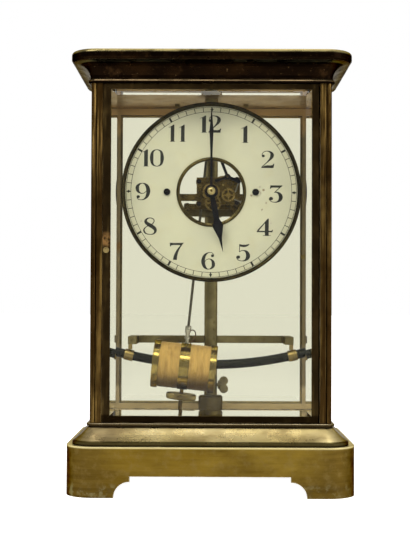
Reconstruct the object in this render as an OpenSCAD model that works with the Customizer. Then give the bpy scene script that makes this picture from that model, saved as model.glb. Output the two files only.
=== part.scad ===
// Cage clock with an electromagnetic pendulum, in millimetres.
// The origin is on the rest plane under the middle of the case. The dial faces -Y.

/* [Plinth] */
// How far the plinth stands out beyond the cage
plinth_out = 17.4; // [12:0.2:20]
// Height of the plinth's flat top
plinth_h = 37.6; // [35:0.2:44]
// Corner radius of the plinth in plan
plinth_r = 18; // [12:1:24]
// Wall of the plinth and of the moulding
shell = 3; // [2:0.25:4]
// Length of a bracket foot at the floor
foot_len = 37.1; // [26:0.2:40]
// Radius of the hollow under a foot's inner end
foot_arc = 12; // [8:0.2:13]
// Height of the apron's lower edge
apron_z = 15.9; // [13:0.1:17]
// Height of the floor's upper face
floor_z = 53.6; // [52:0.2:60]
// Thickness of the floor plate
floor_t = 3; // [2:0.25:4]

/* [Cage] */
// Width over the pillars
cage_w = 182.8; // [178:0.2:186]
// Depth over the pillars
cage_d = 119; // [112:1:124]
// Height of the ceiling's lower face
cage_top = 311; // [305:0.5:320]
// Side of a square pillar
pillar = 8.8; // [7:0.2:10]
// Width of a door stile
stile = 6; // [4.5:0.1:6.5]
// Height of a door's lower rail
rail_low = 5; // [4:0.2:8]
// Height of the front door's upper rail
rail_high = 4; // [3.6:0.2:8]
// Extra height of the rear door's upper rail
rear_rail_more = 3.4; // [0:0.2:6]
// Extra height of the rear door's lower rail
rear_sill_more = 1.4; // [0:0.2:4]
// Thickness of a door frame
door_t = 4.8; // [4:0.2:5.4]
// Thickness of the door glass and the side glass
glass_t = 2.6; // [2:0.1:3]
// Width of the bevel round a door glass
glass_bevel = 4.5; // [3:0.5:9]
// Running gap all round a door
door_gap = 0.3; // [0.2:0.05:0.5]
// Height of the door catches above the rest plane
catch_z = 184; // [120:0.5:250]

/* [Cornice] */
// How far the cornice stands out beyond the cage
cornice_out = 15.4; // [9:0.2:18]
// Height of the cornice above the ceiling's lower face
cornice_h = 23.5; // [20:0.5:28]

/* [Column] */
// Diameter of the column
column_d = 10.5; // [9:0.1:12]
// Distance of the column behind the middle of the case
column_y = 9.5; // [9.5:0.1:14]
// Outer diameter of the socket on the floor
socket_d = 19.5; // [16:0.1:24]
// Height of the socket
socket_h = 15.6; // [12:0.2:20]

/* [Pendulum] */
// Height of the suspension pin
pivot_z = 298; // [294:0.5:299]
// Sideways place of the suspension pin
pivot_x = 0; // [-2:0.1:2]
// Distance of the swing plane in front of the middle of the case
swing_y = 16; // [15.5:0.1:17]
// Swing from upright in the stored pose, to the left
rest_angle = 5.85; // [0:0.05:7.5]
// Distance from the suspension pin to the coil's middle
bob_drop = 205; // [198:0.2:208]
// Diameter of the rod
rod_d = 2.1; // [1.6:0.1:2.6]
// Length of the coil
coil_len = 50; // [44:0.5:56]
// Diameter of the coil's end flanges
flange_d = 37.6; // [34:0.2:38]
// Diameter over the windings
winding_d = 35.8; // [30:0.2:36.6]
// Bore of the coil's tube
coil_bore = 18; // [16:0.2:20]
// Width of the band between the windings
band_w = 7.8; // [5:0.2:10]
// Diameter of the rating nut
nut_d = 23.8; // [18:0.2:26]
// Thickness of the rating nut
nut_t = 4.8; // [3:0.2:6]
// Distance from the coil's lower edge to the rating nut
nut_drop = 2.6; // [2:0.1:4]

/* [Magnet] */
// Diameter of the curved iron bar
magnet_d = 7.2; // [5:0.1:9]
// Radius of the bar's curve
magnet_r = 290; // [205:5:340]
// Half the sideways reach of the bar
magnet_reach = 79; // [70:0.5:80]
// Sideways place of the clamp bands
band_x = 64.7; // [60:0.1:68]
// Height of the bracket bar's middle
bracket_z = 114.5; // [113:0.5:118]
// Height of the bracket bar
bracket_h = 6; // [4:0.2:8]

/* [Dial] */
// Height of the dial's centre
dial_z = 230.6; // [222:0.2:236]
// Outside diameter of the dial's bezel
bezel_d = 140; // [134:0.5:148]
// Width of the bezel's face
bezel_w = 3.1; // [2:0.1:5]
// Diameter of the window in the dial
window_d = 49; // [46:0.5:54]
// Width of the ring round the window
window_ring = 2.7; // [2:0.1:4]
// Distance from the dial's face to the middle of the case
dial_y = 35; // [34.6:0.1:38]
// Distance from the dial's centre to a dial screw
dial_screw_x = 34.5; // [32:0.5:44]
// Length of the minute hand
minute_len = 64.6; // [56:0.2:66]
// Length of the hour hand
hour_len = 47.8; // [38:0.2:50]
// Angle of the hour hand, clockwise from twelve
hour_angle = 169; // [0:1:359]
// Angle of the minute hand, clockwise from twelve
minute_angle = 0; // [0:1:359]

/* [Hidden] */
plinth_w = cage_w + 2 * plinth_out;
plinth_d = cage_d + 2 * plinth_out;
cage_x = cage_w / 2;
cage_y = cage_d / 2;
// inner edge of the pillars, where the doors and the side glass begin
bay_x = cage_x - pillar;
bay_y = cage_y - pillar;
seat = 0.1;
eps = 0.01;
brass = [0.62, 0.5, 0.26];
dark_brass = [0.3, 0.24, 0.15];
steel = [0.24, 0.25, 0.28];

// plan outline with round corners
module plan(w, d, r) {
  square([w - 2 * r, d], center = true);
  square([w, d - 2 * r], center = true);
  for (x = [-1, 1], y = [-1, 1])
    translate([x * (w / 2 - r), y * (d / 2 - r)])
      circle(r = r, $fn = 48);
}

// a closed moulding: the section [outward, up] runs round a rectangle with round corners,
// where outward counts from the line w by d
module moulding(w, d, r, section) {
  for (k = [0, 1])
    mirror([0, k, 0])
      translate([0, d / 2, 0])
        rotate([90, 0, 90])
          linear_extrude(w - 2 * r, center = true)
            polygon(section);
  for (k = [0, 1])
    mirror([k, 0, 0])
      translate([w / 2, 0, 0])
        rotate([90, 0, 0])
          linear_extrude(d - 2 * r, center = true)
            polygon(section);
  for (x = [0, 1], y = [0, 1])
    mirror([x, 0, 0])
      mirror([0, y, 0])
        translate([w / 2 - r, d / 2 - r, 0])
          rotate_extrude(angle = 90, $fn = 48)
            polygon([for (p = section) [p[0] + r, p[1]]]);
}

// points of a circular arc
function arc(c, r, a0, a1, n = 8) =
  [for (i = [0:n]) let (a = a0 + (a1 - a0) * i / n) c + r * [cos(a), sin(a)]];

// a disc or plate that faces the dial side: its rear face lies at y and it is t thick
module facing(x, y, z, t) {
  translate([x, y, z])
    rotate([90, 0, 0])
      linear_extrude(t)
        children();
}

// a round bar along Y from y0 back to y1
module along_y(x, z, d, y0, y1) {
  translate([x, y1, z])
    rotate([90, 0, 0])
      cylinder(d = d, h = y1 - y0, $fn = 48);
}

// outline that the mouldings and the plinth share: the cage with lightly rounded corners
corner_r = 5;
inner_lip = 4;

// the opening between two feet, seen square on, in a face of width w
module arch(w) {
  x = w / 2 - foot_len - foot_arc;
  translate([-x, -1])
    square([2 * x, apron_z + 1]);
  for (k = [-1, 1])
    translate([k * x, 0])
      circle(r = foot_arc, $fn = 64);
}

ledge_in = shell + 5;
cover_t = 1.2;
cover_z = apron_z + 0.4;
cover_play = 0.25;
post_d = 9;
post_in = 14;
cover_screw_d = 3;
cover_screw_play = 0.2;

module at_posts() {
  for (x = [-1, 1], y = [-1, 1])
    translate([x * (plinth_w / 2 - post_in), y * (plinth_d / 2 - post_in), 0])
      children();
}

module plinth() {
  color(brass)
    difference() {
      union() {
        difference() {
          linear_extrude(plinth_h)
            plan(plinth_w, plinth_d, corner_r + plinth_out);
          translate([0, 0, -1])
            linear_extrude(plinth_h - shell + 1)
              plan(plinth_w - 2 * shell, plinth_d - 2 * shell, corner_r + plinth_out - shell);
          linear_extrude(plinth_h + 1)
            plan(plinth_w - 2 * ledge_in, plinth_d - 2 * ledge_in, corner_r + plinth_out - ledge_in);
        }
        at_posts()
          translate([0, 0, cover_z + cover_t])
            cylinder(d = post_d, h = plinth_h - shell - cover_z - cover_t, $fn = 32);
      }
      at_posts()
        translate([0, 0, cover_z])
          cylinder(d = cover_screw_d + cover_screw_play, h = 11, $fn = 32);
      rotate([90, 0, 0])
        linear_extrude(plinth_d + 2, center = true)
          arch(plinth_w);
      rotate([90, 0, 90])
        linear_extrude(plinth_w + 2, center = true)
          arch(plinth_d);
    }
}

module bottom_cover() {
  inset = shell + cover_play;
  color(dark_brass)
    difference() {
      translate([0, 0, cover_z])
        linear_extrude(cover_t)
          plan(plinth_w - 2 * inset, plinth_d - 2 * inset, corner_r + plinth_out - inset);
      at_posts()
        translate([0, 0, cover_z - 1])
          cylinder(d = cover_screw_d + 2 * cover_screw_play, h = cover_t + 2, $fn = 32);
    }
}

module cover_screws() {
  color(steel)
    at_posts() {
      difference() {
        translate([0, 0, cover_z - 1.6])
          cylinder(d = 6, h = 1.6, $fn = 32);
        translate([-4, -0.4, cover_z - 2])
          cube([8, 0.8, 1]);
      }
      translate([0, 0, cover_z - eps])
        cylinder(d = cover_screw_d, h = 9, $fn = 32);
    }
}

// The flared moulding, a shell whose section runs from the plinth's ledge to the bead
fillet_h = 2.6;
fillet_in = 4.2;
flare_sag = 1;
cove_in = 1.1;
bead_h = 2.2;
bead_out = 1.6;
bead_z = floor_z - bead_h;

module plinth_moulding() {
  low = plinth_out - fillet_in;
  run = low - cove_in;
  z0 = plinth_h;
  z1 = z0 + fillet_h;
  z2 = bead_z - 0.5;
  zi = bead_z - shell;
  outline = concat(
    [[low - shell, z0], [low, z0]],
    [for (i = [0:8]) let (t = i / 8)
      [cove_in + run * (1 - t) - flare_sag * sin(180 * t), z1 + (z2 - z1) * t]],
    [[cove_in, bead_z], [-inner_lip, bead_z], [-inner_lip, zi]],
    [for (i = [8:-1:1]) let (t = i / 8)
      [cove_in - shell + run * (1 - t) - flare_sag * sin(180 * t), z0 + (zi - z0) * t]]
  );
  bead = concat(
    [[-inner_lip, bead_z - eps]],
    arc([cove_in + bead_out - bead_h / 2, bead_z + bead_h / 2], bead_h / 2, -90, 90, 6),
    [[-inner_lip, floor_z]]
  );
  color(brass)
    difference() {
      union() {
        moulding(cage_w, cage_d, corner_r, outline);
        moulding(cage_w, cage_d, corner_r, bead);
      }
      at_hinges()
        translate([0, 0, floor_z - pin_hold])
          cylinder(d = pin_d + 2 * pin_play, h = pin_hold + 1, $fn = 32);
    }
}

// Hinge pins stand in the moulding below and in the cornice above
pin_d = 2;
pin_play = 0.05;
pin_hold = 4;
pin_reach = 6;
door_face = 0.1;
hinge_x = bay_x - door_gap - stile / 2;
hinge_y = cage_y - door_face - door_t / 2;

module at_hinges() {
  for (a = [0, 180])
    rotate(a)
      translate([hinge_x, -hinge_y, 0])
        children();
}

module hinge_pins() {
  color(brass)
    at_hinges()
      for (z = [floor_z - pin_hold, cage_top - door_gap - pin_reach + 0.5])
        translate([0, 0, z])
          cylinder(d = pin_d, h = pin_hold + door_gap + pin_reach - 0.5, $fn = 32);
}

spigot_d = 8;
spigot_play = 0.1;

module case_floor() {
  inset = 2 * (inner_lip + seat);
  color(brass)
    difference() {
      translate([0, 0, floor_z - floor_t])
        linear_extrude(floor_t)
          plan(cage_w - inset, cage_d - inset, corner_r - 3);
      translate([0, column_y, floor_z - floor_t - 1])
        cylinder(d = spigot_d + 2 * spigot_play, h = floor_t + 2, $fn = 48);
    }
}

// A pillar has a bead between two quirks on its outer corner
quirk = 0.7;
corner_bead_r = 2.2;
module pillars() {
  color(dark_brass)
    for (x = [0, 1], y = [0, 1])
      mirror([x, 0, 0])
        mirror([0, y, 0])
          translate([cage_x - pillar, cage_y - pillar, floor_z])
            linear_extrude(cage_top - floor_z) {
              difference() {
                square(pillar);
                translate([pillar, pillar])
                  square(2 * (2 * corner_bead_r + quirk - 0.6), center = true);
              }
              translate([pillar - corner_bead_r, pillar - corner_bead_r])
                circle(r = corner_bead_r, $fn = 32);
              translate([pillar - 2 * corner_bead_r - quirk, pillar - 2 * corner_bead_r - quirk])
                square(corner_bead_r + quirk);
            }
}

// A glazed frame stands across X with its outer face at y = 0
rebate = 1.5;
lip_t = 1.4;
glass_edge = 1;
mitre_w = 0.16;
mitre_deep = 0.35;

module glazed_frame(half, low, high, rail, sill) {
  x = half - stile;
  z0 = low + sill;
  z1 = high - rail;
  difference() {
    translate([-half, 0, low])
      cube([2 * half, door_t, high - low]);
    translate([-x, -1, z0])
      cube([2 * x, door_t + 2, z1 - z0]);
    translate([-x - rebate, lip_t, z0 - rebate])
      cube([2 * (x + rebate), door_t, z1 - z0 + 2 * rebate]);
    for (k = [-1, 1], up = [0, 1]) {
      rise = up == 1 ? rail : -sill;
      translate([k * x, 0, up == 1 ? z1 : z0])
        rotate([0, -atan2(rise, k * stile), 0])
          translate([-0.5, -1, -mitre_w / 2])
            cube([norm([rise, stile]) + 2, 1 + mitre_deep, mitre_w]);
    }
  }
}

function pane_section(w) = [
  [-w / 2, 0], [-w / 2, -glass_edge], [-w / 2 + rebate, -glass_edge],
  [-w / 2 + rebate + glass_bevel, -glass_t], [w / 2 - rebate - glass_bevel, -glass_t],
  [w / 2 - rebate, -glass_edge], [w / 2, -glass_edge], [w / 2, 0]
];

// the bevelled pane that lies in a glazed frame's rebate
module pane(half, low, high, rail, sill) {
  w = 2 * (half - stile + rebate - seat);
  z0 = low + sill - rebate + seat;
  z1 = high - rail + rebate - seat;
  translate([0, lip_t + seat + glass_edge, (z0 + z1) / 2])
    intersection() {
      linear_extrude(z1 - z0, center = true)
        polygon(pane_section(w));
      rotate([0, 90, 0])
        linear_extrude(w, center = true)
          polygon(pane_section(z1 - z0));
    }
}

// The doors are drawn for the front, with the hinge on the right
spindle_d = 2.2;
spindle_play = 0.06;
door_low = floor_z + door_gap;
door_high = cage_top - door_gap;
door_half = bay_x - door_gap;
door_front = -cage_y + door_face;
catch_x = -(door_half - stile / 2);

module door_frame(rail, sill) {
  color(dark_brass)
    difference() {
      translate([0, door_front, 0])
        glazed_frame(door_half, door_low, door_high, rail, sill);
      // the hinge stile is round on the pin so that it clears the pillar as it turns
      translate([hinge_x, -hinge_y, door_low - 1])
        difference() {
          translate([0, -stile, 0])
            cube([stile, 2 * stile, door_high - door_low + 2]);
          cylinder(d = stile, h = door_high - door_low + 2, $fn = 48);
        }
      for (z = [door_low - 1, door_high - pin_reach])
        translate([hinge_x, -hinge_y, z])
          cylinder(d = pin_d + 2 * pin_play, h = pin_reach + 1, $fn = 32);
      along_y(catch_x, catch_z, spindle_d + 2 * spindle_play, door_front - 1, door_front + door_t + 1);
    }
}

module door_glass(rail, sill) {
  color([0.8, 0.9, 0.88, 0.35])
    translate([0, door_front, 0])
      pane(door_half, door_low, door_high, rail, sill);
}

// A catch turns in the free stile: a knob outside and a cam inside that wedges on the pillar
knob_d = 4.4;
cam_t = 1.2;
module door_catch() {
  back = door_front + door_t;
  color(brass) {
    along_y(catch_x, catch_z, knob_d, door_front - 3, door_front - 0.9);
    along_y(catch_x, catch_z, knob_d - 1.2, door_front - 0.9 - eps, door_front - seat);
    along_y(catch_x, catch_z, spindle_d, door_front - 1, back + seat + cam_t);
    difference() {
      along_y(catch_x, catch_z, knob_d + 0.6, back + seat, back + seat + cam_t);
      translate([catch_x, back, catch_z + 1.4])
        cube([knob_d + 2, 4, 4], center = false);
    }
  }
}

module front_door_frame() { door_frame(rail_high, rail_low); }
module front_door_glass() { door_glass(rail_high, rail_low); }
module front_catch() { door_catch(); }
module rear_door_frame() { rotate(180) door_frame(rail_high + rear_rail_more, rail_low + rear_sill_more); }
module rear_door_glass() { rotate(180) door_glass(rail_high + rear_rail_more, rail_low + rear_sill_more); }
module rear_catch() { rotate(180) door_catch(); }

side_half = bay_y - seat;
module side_frames() {
  color(dark_brass)
    for (turn = [-90, 90])
      rotate(turn)
        translate([0, -cage_x + door_face, 0])
          glazed_frame(side_half, floor_z, cage_top, rail_high, rail_low);
}
module side_glass(turn) {
  color([0.8, 0.9, 0.88, 0.35])
    rotate(turn)
      translate([0, -cage_x + door_face, 0])
        pane(side_half, floor_z, cage_top, rail_high, rail_low);
}
module side_glass_left() { side_glass(-90); }
module side_glass_right() { side_glass(90); }

// The ceiling plate and the cornice
ceiling_t = 2.4;
ceiling_nut_x = 28.8;
ceiling_nut_y = 36;
ceiling_nut = 4;
module ceiling_plate() {
  inset = 2 * (inner_lip + seat);
  color(brass)
    difference() {
      translate([0, 0, cage_top])
        linear_extrude(ceiling_t)
          plan(cage_w - inset, cage_d - inset, corner_r - 3);
      translate([0, column_y, cage_top - 1])
        cylinder(d = spigot_d + 2 * spigot_play, h = ceiling_t + 2, $fn = 48);
      for (k = [-1, 1])
        translate([k * ceiling_nut_x, ceiling_nut_y, cage_top - 1])
          cylinder(d = 2.4, h = ceiling_t + 2, $fn = 32);
    }
}

module ceiling_nuts() {
  color(dark_brass)
    for (k = [-1, 1])
      translate([k * ceiling_nut_x, ceiling_nut_y, cage_top]) {
        translate([-ceiling_nut / 2, -ceiling_nut / 2, -2])
          cube([ceiling_nut, ceiling_nut, 2]);
        translate([0, 0, -eps])
          cylinder(d = 2.2, h = ceiling_t + 1, $fn = 32);
        translate([0, 0, ceiling_t])
          cylinder(d = 4.4, h = 1.2, $fn = 32);
      }
}

cornice_bead = 3.2;
fascia_h = 7.9;
module cornice() {
  run = cornice_out - 1.5 - cove_in;
  z1 = cornice_bead + 0.4;
  z2 = cornice_h - fascia_h;
  outline = concat(
    [[-inner_lip, 0]],
    arc([cove_in + bead_out - cornice_bead / 2, cornice_bead / 2], cornice_bead / 2, -90, 90, 6),
    [[cove_in, cornice_bead]],
    [for (i = [0:8]) let (a = 90 * i / 8) [cove_in + run * (1 - cos(a)), z1 + (z2 - z1) * sin(a)]],
    arc([cornice_out - 1.8, z2 + 2.2], 1.8, -60, 0, 3),
    arc([cornice_out - 2.4, cornice_h - 2.4], 2.4, 0, 90, 5),
    [[-inner_lip, cornice_h], [-inner_lip, cornice_h - shell],
     [cornice_out - 2 * shell, cornice_h - shell]],
    [for (i = [8:-1:0]) let (a = 90 * i / 8)
      [cove_in - shell + (cornice_out - shell - cove_in - 1.5) * (1 - cos(a)),
       shell + (z2 - z1 + 0.5) * sin(a)]],
    [[-inner_lip, shell]]
  );
  color(dark_brass)
    difference() {
      translate([0, 0, cage_top]) {
        moulding(cage_w, cage_d, corner_r, outline);
        translate([0, 0, cornice_h - shell])
          linear_extrude(shell)
            plan(cage_w - 2 * inner_lip + 1, cage_d - 2 * inner_lip + 1, corner_r - inner_lip + 0.5);
      }
      at_hinges()
        translate([0, 0, cage_top - 1])
          cylinder(d = pin_d + 2 * pin_play, h = pin_hold + 1, $fn = 32);
    }
}

// The column stands through the floor and the ceiling
column_bore = 5;
nut_af = 13;
column_nut_t = 4;
module column() {
  color(dark_brass)
    translate([0, column_y, 0])
      difference() {
        union() {
          translate([0, 0, floor_z])
            cylinder(d = column_d, h = cage_top - floor_z, $fn = 64);
          translate([0, 0, floor_z - floor_t - column_nut_t - 2])
            cylinder(d = spigot_d, h = floor_t + column_nut_t + 3, $fn = 48);
          translate([0, 0, cage_top - 1])
            cylinder(d = spigot_d, h = ceiling_t + column_nut_t + 3, $fn = 48);
        }
        translate([0, 0, floor_z - 20])
          cylinder(d = column_bore, h = cage_top + 40, $fn = 48);
        translate([0, 0, bracket_z])
          rotate([-90, 0, 0])
            cylinder(d = bracket_screw_d + 2 * spindle_play, h = column_d, $fn = 32);
        translate([0, 0, binding_z])
          rotate([0, 90, 0])
            cylinder(d = binding_d + 2 * spindle_play, h = column_d, $fn = 32);
      }
}

module column_nuts() {
  color(brass)
    for (z = [floor_z - floor_t - column_nut_t, cage_top + ceiling_t])
      translate([0, column_y, z])
        difference() {
          cylinder(d = nut_af / cos(30), h = column_nut_t, $fn = 6);
          translate([0, 0, -1])
            cylinder(d = spigot_d + 2 * spigot_play, h = column_nut_t + 2, $fn = 48);
        }
}

module column_socket() {
  color(brass)
    translate([0, column_y, floor_z])
      rotate_extrude($fn = 64)
        polygon([[column_d / 2 + seat, 0], [socket_d / 2, 0], [socket_d / 2, socket_h - 1.2],
          [socket_d / 2 - 1.2, socket_h], [column_d / 2 + seat, socket_h]]);
}

// The binding screw that holds the supply lead, a wing screw in the column's right side
binding_z = floor_z + 24.2;
binding_d = 3;
wing_r = 6.8;
wing_d = 7.2;
wing_t = 2;
module binding_screw() {
  x = column_d / 2 + 0.6;
  color(brass)
    translate([0, column_y, binding_z])
      rotate([0, 90, 0]) {
        translate([0, 0, column_bore / 2 + 0.4])
          cylinder(d = binding_d, h = x, $fn = 32);
        translate([0, 0, x])
          cylinder(d = 7, h = 2, $fn = 32);
        for (k = [-1, 1])
          translate([k * (wing_r - wing_d / 2), wing_t / 2, x + 2 + wing_d / 2 - 0.8])
            rotate([90, 0, 0])
              cylinder(d = wing_d, h = wing_t, $fn = 48);
      }
}

// The curved magnet: a flatter arc than the coil's path, a little above it at the middle
magnet_rise = 2.6;
magnet_low = pivot_z - bob_drop + magnet_rise;
magnet_mid_z = magnet_low + magnet_r;
magnet_angle = asin(magnet_reach / magnet_r);
band_angle = asin(band_x / magnet_r);
band_wide = 7;
lug_w = 3;
lug_play = 0.02;
band_wall = 0.8;

// sweep the children, drawn [outward, across], along the magnet's curve
module bar_sweep(from, to) {
  translate([pivot_x, -swing_y, magnet_mid_z])
    rotate([90, 0, 0])
      rotate([0, 0, -90 + from])
        rotate_extrude(angle = to - from, $fn = 360)
          translate([magnet_r, 0])
            children();
}

module magnet() {
  color(steel)
    bar_sweep(-magnet_angle, magnet_angle)
      circle(d = magnet_d, $fn = 48);
}

module magnet_clamps() {
  half = band_wide / magnet_r * 90 / PI;
  band_z = magnet_mid_z - sqrt(magnet_r * magnet_r - band_x * band_x);
  lug_z = band_z + magnet_d / 2 + 0.8;
  color(brass)
    for (k = [-1, 1]) {
      bar_sweep(k * band_angle - half, k * band_angle + half)
        difference() {
          circle(d = magnet_d + 2 * band_wall, $fn = 48);
          circle(d = magnet_d + seat, $fn = 48);
        }
      translate([pivot_x + k * (band_x - 1) - lug_w / 2, -swing_y - 2, lug_z])
        cube([lug_w, 4, bracket_z - bracket_h / 2 - lug_z - lug_play]);
    }
}

bracket_t = 5;
bracket_y = column_y + column_d / 2;
bracket_screw_d = 3;
arm_w = 6.7;
arm_in = band_x - 2.7 - arm_w / 2;
arm_front = -swing_y - 4;
module magnet_bracket() {
  face = [[0, -bracket_h / 2], [bracket_t - 1, -bracket_h / 2], [bracket_t, -bracket_h / 2 + 1],
    [bracket_t, bracket_h / 2 - 1], [bracket_t - 1, bracket_h / 2], [0, bracket_h / 2]];
  length = arm_in + arm_w;
  color(brass)
    difference() {
      union() {
        translate([0, bracket_y, bracket_z])
          rotate([90, 0, 90])
            linear_extrude(2 * length, center = true)
              polygon(face);
        for (k = [0, 1])
          mirror([k, 0, 0])
            translate([arm_in, arm_front, bracket_z - bracket_h / 2])
              cube([arm_w, bracket_y - arm_front + 1, bracket_h]);
      }
      along_y(0, bracket_z, bracket_screw_d + 2 * spindle_play, bracket_y - 1, bracket_y + bracket_t + 1);
    }
}

module bracket_screw() {
  color(steel) {
    along_y(0, bracket_z, bracket_screw_d, column_y + column_bore / 2, bracket_y + bracket_t + 1);
    along_y(0, bracket_z, 6, bracket_y + bracket_t, bracket_y + bracket_t + 2);
  }
}

// Suspension: a cock on the column carries the pin that the pendulum hangs on
cock_ring_d = 17;
cheek_t = 2;
cheek_gap = 8;
cock_w = 8;
cock_top = pivot_z + 7.5;
bridge_t = 3;
pin_bore_play = 0.05;
suspension_pin_d = 2;
module column_ring(z, h) {
  translate([0, column_y, z])
    difference() {
      cylinder(d = cock_ring_d, h = h, $fn = 64);
      translate([0, 0, -1])
        cylinder(d = column_d + 2 * seat, h = h + 2, $fn = 64);
    }
}

module suspension_cock() {
  front = -swing_y - cheek_gap / 2 - cheek_t;
  color(brass)
    difference() {
      union() {
        column_ring(cock_top - 12, 12);
        translate([pivot_x - cock_w / 2, front, cock_top - bridge_t])
          cube([cock_w, column_y - column_d / 2 - 1.5 - front, bridge_t]);
        for (y = [front, -swing_y + cheek_gap / 2])
          translate([pivot_x - cock_w / 2, y, pivot_z - 3.5])
            cube([cock_w, cheek_t, cock_top - pivot_z + 3.5 - 1]);
      }
      along_y(pivot_x, pivot_z, suspension_pin_d + 0.04, front - 1, -swing_y + cheek_gap);
    }
}

module suspension_pin() {
  reach = cheek_gap / 2 + cheek_t;
  color(steel)
    along_y(pivot_x, pivot_z, suspension_pin_d, -swing_y - reach - 0.4, -swing_y + reach + 0.4);
}

// The pendulum is drawn hanging from its pin and leans to the stored angle
module swing() {
  translate([pivot_x, -swing_y, pivot_z])
    rotate([0, rest_angle, 0])
      children();
}

eye_w = 5;
eye_t = cheek_gap - 0.6;
spring_len = 11;
chop_h = 5;
rod_top = 3 + spring_len;
module suspension_spring() {
  color(steel)
    swing() {
      difference() {
        translate([-eye_w / 2, -eye_t / 2, -3])
          cube([eye_w, eye_t, 5.8]);
        along_y(0, 0, suspension_pin_d + 2 * pin_bore_play, -eye_t, eye_t);
      }
      translate([-0.15, -2.5, -rod_top - 1])
        cube([0.3, 5, spring_len + 2]);
      translate([-2, -3, -rod_top - chop_h])
        cube([4, 6, chop_h]);
    }
}

hook_top = bob_drop - flange_d / 2 - 13.4;
contact_drop = 36;
contact_d = 1.2;
contact_reach = 16.4;
module pendulum_rod() {
  color(dark_brass)
    swing() {
      translate([0, 0, -hook_top])
        cylinder(d = rod_d, h = hook_top - rod_top - chop_h, $fn = 32);
      translate([0, 0, -contact_drop])
        cylinder(d = rod_d + 2, h = 3, center = true, $fn = 32);
      along_y(0, -contact_drop, contact_d, -contact_reach, 0);
    }
}

hook_d = 4.8;
band_d = flange_d - 1;
module pendulum_hook() {
  low = bob_drop - band_d / 2;
  color([0.6, 0.6, 0.58])
    swing()
      rotate_extrude($fn = 48)
        polygon([[0, -low], [1.5, -low], [1.5, -low + 3.4], [hook_d / 2 - 0.1, -low + 3.4],
          [hook_d / 2 - 0.1, -low + 5.4], [1.4, -low + 5.8], [hook_d / 2, -hook_top - 3.6],
          [hook_d / 2, -hook_top - 0.6], [hook_d / 2 - 0.6, -hook_top], [0, -hook_top]]);
}

// The coil: a brass bobbin with two windings, its axis along the swing
flange_t = 5;
tube_wall = 1;
module at_coil() {
  swing()
    translate([0, 0, -bob_drop])
      rotate([0, 90, 0])
        children();
}

module coil_bobbin() {
  r_in = coil_bore / 2;
  r_tube = r_in + tube_wall;
  x = coil_len / 2;
  color(brass)
    at_coil()
      rotate_extrude($fn = 96)
        polygon([[r_in, -x], [flange_d / 2 - 0.5, -x], [flange_d / 2, -x + 0.5],
          [flange_d / 2, -x + flange_t], [r_tube, -x + flange_t], [r_tube, -band_w / 2],
          [band_d / 2, -band_w / 2], [band_d / 2, band_w / 2], [r_tube, band_w / 2],
          [r_tube, x - flange_t], [flange_d / 2, x - flange_t], [flange_d / 2, x - 0.5],
          [flange_d / 2 - 0.5, x], [r_in, x]]);
}

// each winding is a plain core under one layer of turns
turn_count = 10;
turn_d = 1;
turn_rings = 24;
turn_sides = 6;
core_play = 0.22;
winding_len = coil_len / 2 - flange_t - band_w / 2;
turn_r = winding_d / 2 - turn_d / 2;
turn_pitch = (winding_len - turn_d - 0.4) / turn_count;
echo("least gap between turns", turn_pitch - turn_d);

module coil_cores() {
  color([0.7, 0.5, 0.3])
    at_coil()
      for (k = [-1, 1])
        translate([0, 0, k * (band_w + winding_len) / 2])
          difference() {
            cylinder(r = turn_r - turn_d / 2 - core_play, h = winding_len - 2 * seat, center = true, $fn = 96);
            cylinder(r = coil_bore / 2 + tube_wall + seat, h = winding_len, center = true, $fn = 96);
          }
}

// points of a ring of a tube at angle a of a helix that climbs along Z
function turn_ring(a, z) = [for (i = [0:turn_sides - 1])
  let (b = 360 * i / turn_sides, r = turn_r + turn_d / 2 * cos(b))
  [r * cos(a), r * sin(a), z + turn_d / 2 * sin(b)]];

module coil_turns() {
  rings = turn_count * turn_rings;
  z0 = band_w / 2 + 0.2 + turn_d / 2;
  points = [for (k = [0:rings])
    each turn_ring(360 * k / turn_rings, z0 + turn_pitch * k / turn_rings)];
  sides = [for (k = [0:rings - 1], i = [0:turn_sides - 1])
    let (a = k * turn_sides + i, b = k * turn_sides + (i + 1) % turn_sides)
    each [[a, a + turn_sides, b], [b, a + turn_sides, b + turn_sides]]];
  ends = [for (i = [1:turn_sides - 2])
    each [[0, i, i + 1], [rings * turn_sides, rings * turn_sides + i + 1, rings * turn_sides + i]]];
  color([0.8, 0.58, 0.34])
    at_coil()
      for (k = [0, 1])
        rotate([180 * k, 0, 0])
          polyhedron(points, concat(sides, ends), convexity = 10);
}

// The coil's lead: a loose loop of thin wire beside the hook, drawn in the pendulum's plane
lead_d = 0.9;
lead_sides = 8;
lead_path = [[2.52, 10.5], [3.6, 10.9], [5, 10.4], [6, 9], [6.3, 7.2], [6, 5.4], [5.2, 3.8], [4.2, 2.4],
  [3.4, 1.1], [3, 0.12]];
module coil_lead() {
  n = len(lead_path);
  low = bob_drop - band_d / 2;
  turns = [for (i = [0:n - 1])
    let (d = lead_path[min(i + 1, n - 1)] - lead_path[max(i - 1, 0)]) atan2(d[1], d[0])];
  points = [for (i = [0:n - 1], k = [0:lead_sides - 1])
    let (b = 360 * k / lead_sides, r = lead_d / 2)
    [lead_path[i][0] - r * cos(b) * sin(turns[i]), r * sin(b),
      lead_path[i][1] - low + r * cos(b) * cos(turns[i])]];
  sides = [for (i = [0:n - 2], k = [0:lead_sides - 1])
    let (a = i * lead_sides + k, b = i * lead_sides + (k + 1) % lead_sides)
    each [[a, b, a + lead_sides], [b, b + lead_sides, a + lead_sides]]];
  ends = [for (k = [1:lead_sides - 2])
    each [[0, k + 1, k], [(n - 1) * lead_sides, (n - 1) * lead_sides + k, (n - 1) * lead_sides + k + 1]]];
  color([0.35, 0.2, 0.12])
    swing()
      polyhedron(points, concat(sides, ends), convexity = 6);
}

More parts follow.
